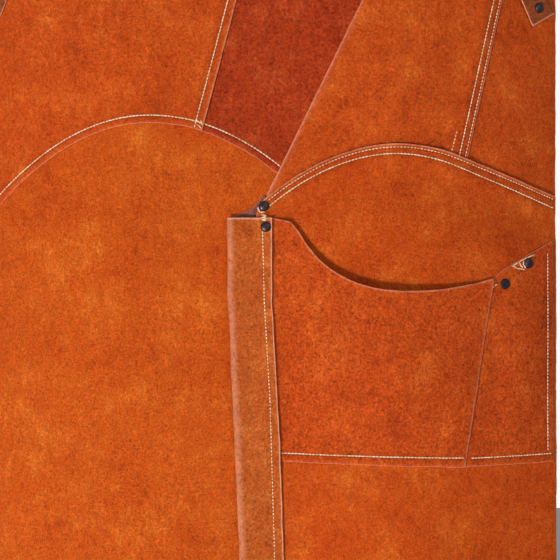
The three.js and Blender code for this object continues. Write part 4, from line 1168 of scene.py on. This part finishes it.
def on_hide(name, line, sunk=0.45, behind=False):
    """A line put on a hide's face, with the direction away from that face at every point."""
    x, z = line.T

    def surface(px, pz):
        depth = sample(back_of[name], px, pz)
        return hang_form(px, pz) - (depth if behind else depth + HIDE)

    step = 1.5
    slope_x = (surface(x + step, z) - surface(x - step, z)) / (2 * step)
    slope_z = (surface(x, z + step) - surface(x, z - step)) / (2 * step)
    way = 1.0 if behind else -1.0
    facing_out = np.column_stack([-way * slope_x, np.full(len(x), way), -way * slope_z])
    facing_out /= np.linalg.norm(facing_out, axis=1)[:, None]
    y = surface(x, z)
    return np.column_stack([x, y, z]) - facing_out * sunk, facing_out


def sewn_on(name, line, margin=1.5, **options):
    """The part of a line that lies on a hide, kept a little clear of its cut edge."""
    edge = edge_of[name]
    ok = inside(line, edge)
    ok &= distance(tree_of(edge), line) > margin
    runs, start = [], None
    for k, good in enumerate(list(ok) + [False]):
        if good and start is None:
            start = k
        if not good and start is not None:
            if k - start > 3:
                runs.append(on_hide(name, line[start:k], **options))
            start = None
    return runs


front_rows = []
front_rows += sewn_on("left_upper_hide", left_arch_stitch)
front_rows += sewn_on("centre_hide", left_arch_stitch[left_arch_stitch[:, 0] > -66])
front_rows += sewn_on("left_upper_hide", left_up_stitch)
for row in right_up_rows:
    front_rows += sewn_on("right_upper_hide", row)
front_rows += sewn_on("right_upper_hide", straight((198.5, SLIT_Z + 57), (204.5, SLIT_Z + 79)))
for row in right_rows:
    front_rows += sewn_on("right_leg_hide", row)
front_rows += sewn_on("facing_flange", facing_stitch)
front_rows += sewn_on("front_pocket_hide", foot_stitch)
front_rows += sewn_on("side_pocket_hide", side_foot_stitch)
front_rows += sewn_on("side_pocket_hide", side_edge_stitch)
# The bobbin thread shows on the wearer's side wherever a seam's lowest hide faces them.
rear_rows = sewn_on("left_leg_hide", left_arch_stitch, behind=True)
rear_rows += sewn_on("centre_hide", left_up_stitch, behind=True)
for row in right_up_rows:
    rear_rows += sewn_on("right_side_hide", row, behind=True)
for row in right_rows:
    rear_rows += sewn_on("right_upper_hide", row, behind=True)
    rear_rows += sewn_on("right_side_hide", row, behind=True)
for row in (facing_stitch, foot_stitch, side_foot_stitch, side_edge_stitch):
    rear_rows += sewn_on("right_leg_hide", row, behind=True)
rear_thread = made_plain("rear_stitching", rear_rows, stitching, {"Thread": cotton, "Seed": 8}, BODY)
seam_thread = made_plain("seam_stitching", front_rows, stitching, {"Thread": cotton, "Seed": 3}, BODY)

# The rows through the straps and the hem: the same thread, at the straps' pitch.
def across_strip(grid, share, sunk, lift, flip=1.0):
    """A row along a strap's middle surface at a share of its width, lifted to its face."""
    along = np.gradient(grid, axis=0)
    across = np.gradient(grid, axis=1)
    out = np.cross(across, along)
    out /= np.linalg.norm(out, axis=2)[:, :, None] + 1e-12
    column = share * (grid.shape[1] - 1)
    low = int(column)
    part = column - low
    line = grid[:, low] * (1 - part) + grid[:, min(low + 1, grid.shape[1] - 1)] * part
    away_from = out[:, low] * flip
    return line + away_from * (lift - sunk), away_from


strap_rows = []
for node, (points, widths) in strap_paths.items():
    grid = strap_grid(points, widths, STRAP_WIDTH)
    for column in (3, 9):
        for flip in (1.0, -1.0):
            strap_rows.append(across_strip(grid, column / 12, 0.35, STRAP / 2, flip))
for row in (4, 8):
    up_and_down = np.array([0, 0, 1.0]) * np.array([-1.0, 0.0, 1.0])[None, :, None]
    flat_row = hem_grid[:, row][:, None, :] + up_and_down
    for flip in (1.0, -1.0):
        line, away_from = across_strip(flat_row, 0.5, 0.2, HIDE / 2, flip)
        strap_rows.append((line, away_from))
strap_thread = made_plain(
    "strap_stitching", strap_rows, stitching,
    {"Thread": cotton, "Seed": 5, "Pitch": 0.0052, "Stitch Length": 0.0042, "Thread Radius": 0.00055}, BODY)

# The tacks: longer hand-pulled stitches that hold the slit's top and the pocket's corner.
def thread_tube(name, rows, radius, material):
    """A thin round thread along each row, as one mesh."""
    corners, faces = [], []
    ring = np.linspace(0, 2 * math.pi, 7)[:-1]
    for line, directions in rows:
        count = len(line)
        tangent = np.gradient(line, axis=0)
        tangent /= np.linalg.norm(tangent, axis=1)[:, None] + 1e-12
        side_way = np.cross(tangent, directions)
        side_way /= np.linalg.norm(side_way, axis=1)[:, None] + 1e-12
        start = len(corners)
        for k in range(count):
            size = radius * (0.55 if k in (0, count - 1) else 1.0)
            for turn in ring:
                round_way = side_way[k] * math.cos(turn) + directions[k] * math.sin(turn)
                corners.append(line[k] + round_way * size)
        for k in range(count - 1):
            for s in range(6):
                a, b = start + k * 6 + s, start + k * 6 + (s + 1) % 6
                faces.append((a, a + 6, b + 6, b))
        faces.append(tuple(start + s for s in range(6)))
        faces.append(tuple(start + (count - 1) * 6 + s for s in reversed(range(6))))
    piece = mesh_piece(name, np.array(corners) * MM, faces, sharp=80)
    piece.data.materials.append(material)
    return piece


def pulled(start, stop, bow=0.7):
    """A stitch from one hole to another, bowed a little sideways."""
    a, b = np.array(start, float), np.array(stop, float)
    t = np.linspace(0, 1, 6)[:, None]
    side_way = np.array([-(b - a)[1], (b - a)[0]])
    side_way = side_way / (np.linalg.norm(side_way) + 1e-9)
    return a + (b - a) * t + side_way * bow * np.sin(math.pi * t)


tack_rows = []


def add_tack(name, start, stop, lift=0.1, bow=0.5):
    line = pulled((start[0], SLIT_Z + start[1]), (stop[0], SLIT_Z + stop[1]), bow)
    laid_line, directions = on_hide(name, line, sunk=-lift)
    rise = np.sin(np.linspace(0, math.pi, len(line)))
    tack_rows.append((laid_line + directions * (rise[:, None] * 0.5 - 0.3), directions))


# Between the two slit rivets a zigzag bar; at the upper rivet a loose V.
zigzag = [(-2.8, -9.6), (2.6, -10.6), (-2.4, -12.2), (2.9, -13.2), (-2.2, -14.8), (2.4, -16.0)]
for start, stop in zip(zigzag, zigzag[1:]):
    add_tack("facing_flange", start, stop, lift=0.5, bow=0.3)
add_tack("right_leg_hide", (-6.6, -1.0), (-3.6, -7.2), lift=0.3, bow=-0.5)
add_tack("right_leg_hide", (-3.6, -7.2), (1.2, -6.4), lift=0.3, bow=0.5)
# At the left up-seam's foot two crossed tacks; at the pocket's corner a crescent and a few small ones.
add_tack("left_upper_hide", (-72.0, 90.5), (-66.0, 86.0))
add_tack("left_upper_hide", (-71.0, 86.0), (-65.5, 81.0))
add_tack("left_upper_hide", (-67.0, 91.0), (-64.6, 82.5))
crescent = [(265.8, -62.6), (271.8, -65.3), (281.3, -66.8)]
left_stroke = [(274.1, -58.2), (275.7, -62.2), (278.6, -64.8)]
right_stroke = [(279.4, -56.6), (278.8, -60.7), (281.6, -65.2)]
along_mouth = [(267.2, -62.4), (274.1, -58.2), (284.0, -53.6), (293.4, -50.2)]
for path in (crescent, left_stroke, right_stroke, along_mouth):
    for start, stop in zip(path, path[1:]):
        add_tack("side_pocket_hide", start, stop, lift=0.4, bow=0.3)
for x, z in ((243.0, -72.6), (246.5, -70.0)):
    add_tack("side_pocket_hide", (x, z - 14), (x + 2.4, z - 12.4), lift=0.2)
tacks = thread_tube("hand_tacks", tack_rows, 0.62, cotton)
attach(tacks, BODY)

# ---------------------------------------------------------------------------------------------------
# The rivets: domed gunmetal caps pressed into the hide, with washered burrs behind. One Geometry Nodes
# tree domes a disc and rolls its rim, and sets one on every rivet's place.
# ---------------------------------------------------------------------------------------------------
def metal_finish(name, tone, worn, metallic, rough, grain=900.0, tint=None):
    finish = bpy.data.materials.new(name)
    finish.use_nodes = True
    tree = finish.node_tree
    shader = tree.nodes["Principled BSDF"]
    where = tree.nodes.new("ShaderNodeTexCoord").outputs["Object"]
    rub = noise_of(tree, where, 320.0, 4.0, 0.6)
    fine = noise_of(tree, where, grain, 3.0, 0.6)
    colour = mixed(tree, remapped(tree, rub, 0.46, 0.72), linear(*tone), linear(*worn))
    if tint is not None:
        drift = noise_of(tree, where, 5.0, 1.0, 0.5)
        colour = mixed(tree, remapped(tree, drift, 0.42, 0.58, 0.0, 0.8), colour, linear(*tint))
    tree.links.new(colour, shader.inputs["Base Color"])
    dulled = math_node(tree, "ADD", rub, math_node(tree, "MULTIPLY", fine, 0.5))
    tree.links.new(remapped(tree, dulled, 0.5, 1.0, rough, rough + 0.22), shader.inputs["Roughness"])
    shader.inputs["Metallic"].default_value = metallic
    bump = tree.nodes.new("ShaderNodeBump")
    bump.inputs["Distance"].default_value = 0.00012
    bump.inputs["Strength"].default_value = 0.5
    tree.links.new(fine, bump.inputs["Height"])
    tree.links.new(bump.outputs[0], shader.inputs["Normal"])
    return finish


gunmetal = metal_finish("gunmetal_plate", (52, 50, 57), (104, 102, 112), 0.75, 0.27, tint=(70, 48, 54))
enamel = metal_finish("black_enamel", (6, 5, 6), (14, 12, 12), 0.0, 0.5)
steel = metal_finish("nickel_steel", (168, 168, 166), (204, 202, 196), 0.95, 0.24, grain=1400.0)

dome, given, result = group_tree(
    "domed_rivets",
    [("Places", "NodeSocketGeometry"), ("Radius", "NodeSocketFloat", 0.0056),
     ("Rise", "NodeSocketFloat", 0.0023), ("Rim", "NodeSocketFloat", 0.0009),
     ("Dimple", "NodeSocketFloat", 0.0), ("Metal", "NodeSocketMaterial")],
    [("Rivets", "NodeSocketGeometry")],
    "GeometryNodeTree",
)
blank = dome.nodes.new("GeometryNodeMeshCylinder")
blank.inputs["Vertices"].default_value = 28
blank.inputs["Side Segments"].default_value = 2
blank.inputs["Fill Segments"].default_value = 8
at = dome.nodes.new("GeometryNodeInputPosition")
parts = dome.nodes.new("ShaderNodeSeparateXYZ")
dome.links.new(at.outputs[0], parts.inputs[0])
squares = math_node(dome, "ADD", math_node(dome, "MULTIPLY", parts.outputs[0], parts.outputs[0]),
                    math_node(dome, "MULTIPLY", parts.outputs[1], parts.outputs[1]))
radial = math_node(dome, "SQRT", squares)
share = math_node(dome, "DIVIDE", radial, given["Radius"], clamp=True)
left_over = math_node(dome, "SUBTRACT", 1.0, math_node(dome, "MULTIPLY", share, share), clamp=True)
round_off = math_node(dome, "SQRT", left_over)
near_middle = math_node(dome, "SUBTRACT", 1.0, math_node(dome, "MULTIPLY", share, 2.2), clamp=True)
hollow = math_node(dome, "MULTIPLY", near_middle, given["Dimple"])
swell_up = math_node(dome, "SUBTRACT", math_node(dome, "MULTIPLY", round_off, given["Rise"]), hollow)
upper = dome.nodes.new("FunctionNodeCompare")
upper.operation = "GREATER_THAN"
upper.inputs["B"].default_value = 0.0001
dome.links.new(parts.outputs[2], upper.inputs["A"])
lifted = dome.nodes.new("ShaderNodeCombineXYZ")
dome.links.new(swell_up, lifted.inputs[2])
shape = dome.nodes.new("GeometryNodeSetPosition")
set_down = dome.nodes.new("GeometryNodeInstanceOnPoints")
upright = dome.nodes.new("FunctionNodeAlignRotationToVector")
upright.axis = "Z"
outward = dome.nodes.new("GeometryNodeInputNamedAttribute")
outward.data_type = "FLOAT_VECTOR"
outward.inputs["Name"].default_value = "away"
smooth = dome.nodes.new("GeometryNodeSetShadeSmooth")
real = dome.nodes.new("GeometryNodeRealizeInstances")
coat = dome.nodes.new("GeometryNodeSetMaterial")
joined_up(
    dome,
    (given["Radius"], blank.inputs["Radius"]),
    (given["Rim"], blank.inputs["Depth"]),
    (blank.outputs["Mesh"], shape.inputs["Geometry"]),
    (upper.outputs[0], shape.inputs["Selection"]),
    (lifted.outputs[0], shape.inputs["Offset"]),
    (shape.outputs[0], smooth.inputs[0]),
    (smooth.outputs[0], set_down.inputs["Instance"]),
    (given["Places"], set_down.inputs["Points"]),
    (outward.outputs[0], upright.inputs["Vector"]),
    (upright.outputs[0], set_down.inputs["Rotation"]),
    (set_down.outputs[0], real.inputs[0]),
    (real.outputs[0], coat.inputs["Geometry"]),
    (given["Metal"], coat.inputs["Material"]),
    (coat.outputs[0], result["Rivets"]),
)


def spot_on(name, x, z, lift=0.45, behind=False):
    line, away_from = on_hide(name, np.array([[x, z]], float), sunk=-lift, behind=behind)
    return line, away_from


cap_spots = {
    "slit_upper_rivet": spot_on("right_leg_hide", 0, SLIT_Z, 0.7),
    "slit_lower_rivet": spot_on("facing_flange", 2, SLIT_Z - 22, 0.5),
    "pocket_corner_rivet": spot_on("side_pocket_hide", 285.5, SLIT_Z - 59.5, 0.6),
}
stud_spot = spot_on("side_pocket_hide", 257.5, SLIT_Z - 82, 0.6)
burr_spots = {
    "slit_upper_rivet": spot_on("left_leg_hide", 0, SLIT_Z, 0.5, True),
    "slit_lower_rivet": spot_on("underlap_strip", 2, SLIT_Z - 22, 0.5, True),
    "pocket_corner_rivet": spot_on("right_leg_hide", 285.5, SLIT_Z - 59.5, 0.5, True),
    "pocket_stud": spot_on("right_leg_hide", 257.5, SLIT_Z - 82, 0.5, True),
}
for side, word in SIDES:
    foot, along, across = front_line(side)
    for row, rise in (("upper", -14), ("lower", -36)):
        spot = foot + along * rise
        front = np.array([[spot[0], -bib_strap_depth - STRAP / 2 - 0.5, spot[2]]])
        behind = np.array([[spot[0], 0.6, spot[2]]])
        cap_spots[f"{word}_bib_{row}_rivet"] = (front, np.array([[0, -1.0, 0]]))
        burr_spots[f"{word}_bib_{row}_rivet"] = (behind, np.array([[0, 1.0, 0]]))
    bar, across, inward, up_tab, up_hook = waist_frames(side)
    through = bar + up_tab * (-TAB_LEG + 14)
    cap_spots[f"{word}_waist_rivet"] = ((through - inward * (TAB_LEG_OFFSET + 1.3))[None], -inward[None])
    burr_spots[f"{word}_waist_rivet"] = ((through + inward * (TAB_LEG_OFFSET + 1.3))[None], inward[None])
    hook_in = np.cross(up_hook, across)
    through = bar + up_hook * (EYE_RISE + 28)
    cap_spots[f"{word}_strap_rivet"] = ((through - hook_in * (STRAP + 0.7))[None], -hook_in[None])
    burr_spots[f"{word}_strap_rivet"] = ((through + hook_in * (STRAP + 0.7))[None], hook_in[None])
caps = made_plain("rivet_caps", cap_spots.values(), dome, {"Metal": gunmetal}, BODY)
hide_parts(*[name + "_cap" for name in cap_spots])
burrs = made_plain("rivet_burrs", burr_spots.values(), dome,
                   {"Metal": gunmetal, "Radius": 0.0047, "Rise": 0.0006, "Rim": 0.0009}, BODY)
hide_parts(*[name + "_burr" for name in burr_spots])
stud = made_plain("pocket_stud_button", [stud_spot], dome,
                  {"Metal": enamel, "Rise": 0.0012, "Dimple": 0.0006}, BODY)
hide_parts("pocket_stud_cap")

# ---------------------------------------------------------------------------------------------------
# The wire rings and the snap hooks: bent and welded nickel-plated wire, and a forged hook body with a
# sprung gate on a pin. Rings swing on their tabs and gates on their pins.
# ---------------------------------------------------------------------------------------------------
def rounded_loop(half_width, low, high, radius):
    """A closed rounded rectangle, x across and z up, as a row of points."""
    points = []
    side = half_width - radius
    turning_points = ((side, low + radius, -90), (side, high - radius, 0),
                      (-side, high - radius, 90), (-side, low + radius, 180))
    for cx, cz, start in turning_points:
        for turn in np.radians(np.linspace(start, start + 90, 7)):
            points.append((cx + radius * math.cos(turn), cz + radius * math.sin(turn)))
    points = np.array(points)
    run = np.vstack([points, points[:1]])
    length = np.concatenate([[0], np.cumsum(np.linalg.norm(np.diff(run, axis=0), axis=1))])
    at = np.linspace(0, length[-1], int(length[-1] / 1.2))[:-1]
    return np.column_stack([np.interp(at, length, run[:, 0]), np.interp(at, length, run[:, 1])])


def wire_loop(loop, radius, sides=14):
    """A round wire carried along a closed flat loop, in the loop's own frame, as points and faces."""
    tangent = np.roll(loop, -1, axis=0) - np.roll(loop, 1, axis=0)
    tangent /= np.linalg.norm(tangent, axis=1)[:, None]
    out = np.column_stack([tangent[:, 1], -tangent[:, 0]])
    turn = np.linspace(0, 2 * math.pi, sides + 1)[:-1]
    points, faces = [], []
    for (x, z), (ox, oz) in zip(loop, out):
        for t in turn:
            reach = radius * math.cos(t)
            points.append((x + ox * reach, radius * math.sin(t), z + oz * reach))
    count = len(loop)
    for k in range(count):
        for s in range(sides):
            a, b = k * sides + s, k * sides + (s + 1) % sides
            c = ((k + 1) % count) * sides
            faces.append((a, b, c + (s + 1) % sides, c + s))
    return np.array(points), faces


def in_frame(points, origin, across, inward, up):
    return origin + points[:, :1] * across + points[:, 1:2] * inward + points[:, 2:] * up


def plate(outline, width, edge=0.5):
    """A flat plate whose outline is drawn y along and z up, with eased edges, as points and faces."""
    inner = offset_line(np.vstack([outline[-1:], outline, outline[:1]]), edge)[1:-1]
    count = len(outline)
    layers = [(-width / 2, inner), (-width / 2 + edge * 0.35, outline + (inner - outline) * 0.3),
              (-width / 2 + edge, outline), (width / 2 - edge, outline),
              (width / 2 - edge * 0.35, outline + (inner - outline) * 0.3), (width / 2, inner)]
    points = np.vstack([np.column_stack([np.full(count, x), ring]) for x, ring in layers])
    faces = []
    for layer in range(len(layers) - 1):
        for k in range(count):
            a, b = layer * count + k, layer * count + (k + 1) % count
            faces.append((a, b, b + count, a + count))
    flat, _, caps_made, *_ = geometry.delaunay_2d_cdt(
        [Vector(p) for p in inner], [(k, (k + 1) % count) for k in range(count)], [], 1, 1e-5)
    last = (len(layers) - 1) * count
    for f in caps_made:
        f = tuple(f) if area_of(np.array([flat[k] for k in f])) > 0 else tuple(f)[::-1]
        if max(f) < count:
            faces.append(tuple(last + k for k in f))
            faces.append(tuple(k for k in reversed(f)))
    return points, faces


def joined_shapes(*shapes):
    points, faces, start = [], [], 0
    for p, f in shapes:
        points.append(p)
        faces += [tuple(start + k for k in face) for face in f]
        start += len(p)
    return np.vstack(points), faces


def outward(name, points, faces, sharp=45):
    """A mesh piece whose faces are turned outwards."""
    piece = mesh_piece(name, points * MM, faces, sharp)
    shell = bmesh.new()
    shell.from_mesh(piece.data)
    bmesh.ops.recalc_face_normals(shell, faces=shell.faces)
    shell.to_mesh(piece.data)
    shell.free()
    piece.data.shade_smooth()
    piece.data.set_sharp_from_angle(angle=math.radians(sharp))
    return piece


HOOK_PLATE = 7.0
HOOK_WIDE = 5.4
HOOK_WALL = 3.4
GATE_WIDTH = 3.2
GATE_PIVOT_RISE = RING_RISE + 24
GATE_PIVOT_Y = -(HOOK_WIDE + HOOK_WALL / 2)
NOSE_RISE = RING_RISE + 5
BRIDGE_RISE = RING_RISE + 28


def hook_outline():
    inner, outer, bowl = HOOK_WIDE, HOOK_WIDE + HOOK_WALL, RING_RISE + 2
    under = [(outer * math.cos(t), bowl + outer * math.sin(t)) for t in np.linspace(math.pi, 2 * math.pi, 19)]
    over = [(inner * math.cos(t), bowl + inner * math.sin(t)) for t in np.linspace(0, -math.pi, 15)]
    nose = [(-inner, NOSE_RISE - 1.2), (-inner - 0.5, NOSE_RISE - 0.3), (-inner - HOOK_WALL / 2, NOSE_RISE),
            (-outer + 0.5, NOSE_RISE - 0.3), (-outer, NOSE_RISE - 1.2)]
    head = [(outer, BRIDGE_RISE + 3), (outer - 0.8, BRIDGE_RISE + 5), (4.6, EYE_RISE - 6.4),
            (3.4, EYE_RISE - 5), (-3.4, EYE_RISE - 5), (-4.6, EYE_RISE - 6.4),
            (-outer - 0.4, BRIDGE_RISE + 5.2), (-outer - 1, BRIDGE_RISE + 4),
            (-outer - 1, GATE_PIVOT_RISE - 3), (-inner + 0.5, GATE_PIVOT_RISE - 3),
            (-inner + 0.5, BRIDGE_RISE - 1), (inner - 0.8, BRIDGE_RISE - 1), (inner, BRIDGE_RISE - 1.8)]
    return np.array(nose + under + head + over)


def gate_outline():
    half = HOOK_WALL / 2 - 0.2
    crown = [(GATE_PIVOT_Y + (half + 0.6) * math.cos(t), GATE_PIVOT_RISE + (half + 0.6) * math.sin(t))
             for t in np.linspace(0, math.pi, 13)]
    tip = [(GATE_PIVOT_Y - half, NOSE_RISE + 0.35), (GATE_PIVOT_Y + half, NOSE_RISE + 0.35)]
    return np.array(tip + crown)


for side, word in SIDES:
    bar, across, inward, up_tab, up_hook = waist_frames(side)
    hook_in = np.cross(up_hook, across)
    place = (bar, across, hook_in, up_hook)
    points, faces = wire_loop(rounded_loop(TAB_WIDTH / 2 + 4.5, 0, RING_RISE, 6), WIRE)
    ring_piece = outward(f"{word}_wire_ring", in_frame(points, *place), faces)
    eye = wire_loop(rounded_loop(STRAP_WIDTH / 2 + 4, EYE_RISE - 9, EYE_RISE, 3.2), WIRE)
    body_plate = plate(hook_outline(), HOOK_PLATE, 0.8)
    points, faces = joined_shapes(eye, body_plate)
    hook_piece = outward(f"{word}_hook_forging", in_frame(points, *place), faces)
    points, faces = plate(gate_outline(), GATE_WIDTH, 0.4)
    gate_piece = outward(f"{word}_sprung_gate", in_frame(points, *place), faces)
    for piece, body, node in ((ring_piece, f"{word}_ring", f"{word}_waist_ring"),
                              (hook_piece, BODY, f"{word}_snap_hook"),
                              (gate_piece, f"{word}_gate", f"{word}_hook_gate")):
        piece.data.materials.append(steel)
        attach(piece, body)
        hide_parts(node)
    pin = f"{word}_gate_pin"
    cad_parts[pin].material_slots[0].material = gunmetal
    slider_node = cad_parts[f"{word}_strap_slider"]
    slider_node.material_slots[0].material = steel

# ---------------------------------------------------------------------------------------------------
# The studio: a pale floor below the hanging apron, a soft key light low on the left, a broad fill, a
# light for the back, and the camera level with the slit, close enough to see the grain.
# ---------------------------------------------------------------------------------------------------
FLOOR_DROP = 1.35
FLOOR_REACH = 9.0
floor_z = cad_low.z - FLOOR_DROP
floor_mesh = bpy.data.meshes.new("studio_floor")
corners = [(x * FLOOR_REACH, z * FLOOR_REACH, floor_z) for x, z in ((-1, -1), (1, -1), (1, 1), (-1, 1))]
floor_mesh.from_pydata(corners, [], [(0, 1, 2, 3)])
floor = bpy.data.objects.new("studio_floor", floor_mesh)
bpy.context.scene.collection.objects.link(floor)
pale = bpy.data.materials.new("studio_paper")
pale.use_nodes = True
pale.node_tree.nodes["Principled BSDF"].inputs["Base Color"].default_value = (0.82, 0.81, 0.79, 1.0)
pale.node_tree.nodes["Principled BSDF"].inputs["Roughness"].default_value = 0.9
floor_mesh.materials.append(pale)


def soft_light(name, place, aim, size, power, colour):
    lamp = bpy.data.lights.new(name, "AREA")
    lamp.shape = "DISK"
    lamp.size = size
    lamp.energy = power
    lamp.color = colour
    stand = bpy.data.objects.new(name, lamp)
    stand.location = place
    stand.rotation_euler = (Vector(aim) - Vector(place)).to_track_quat("-Z", "Y").to_euler()
    bpy.context.scene.collection.objects.link(stand)


soft_light("key", (-1.8, -2.95, -2.45), (0.0, 0.0, -0.88), 0.6, 116.0, (1.0, 0.98, 0.95))
soft_light("fill", (1.6, -3.0, 0.4), (0.1, 0.0, -0.85), 2.6, 22.0, (1.0, 1.0, 1.0))
soft_light("back", (-0.8, 2.4, 0.2), (0.0, 0.0, -0.7), 1.8, 40.0, (1.0, 1.0, 1.0))

world = bpy.data.worlds.new("studio_air")
world.use_nodes = True
air = world.node_tree.nodes["Background"]
air.inputs["Color"].default_value = (1.0, 0.99, 0.97, 1.0)
seen = world.node_tree.nodes.new("ShaderNodeLightPath").outputs["Is Camera Ray"]
extra_seen = math_node(world.node_tree, "MULTIPLY", seen, 0.66)
strength = math_node(world.node_tree, "ADD", extra_seen, 0.30)
world.node_tree.links.new(strength, air.inputs["Strength"])
bpy.context.scene.world = world
bpy.context.scene.view_settings.view_transform = "Standard"

lens = bpy.data.cameras.new("camera")
lens.lens = 85.0
lens.sensor_width = 36.0
lens.clip_start = 0.01
camera = bpy.data.objects.new("camera", lens)
camera.location = (0.0168, -1.396, -0.8877)
camera.rotation_euler = (math.pi / 2, 0.0, 0.0)
bpy.context.scene.collection.objects.link(camera)
bpy.context.scene.camera = camera
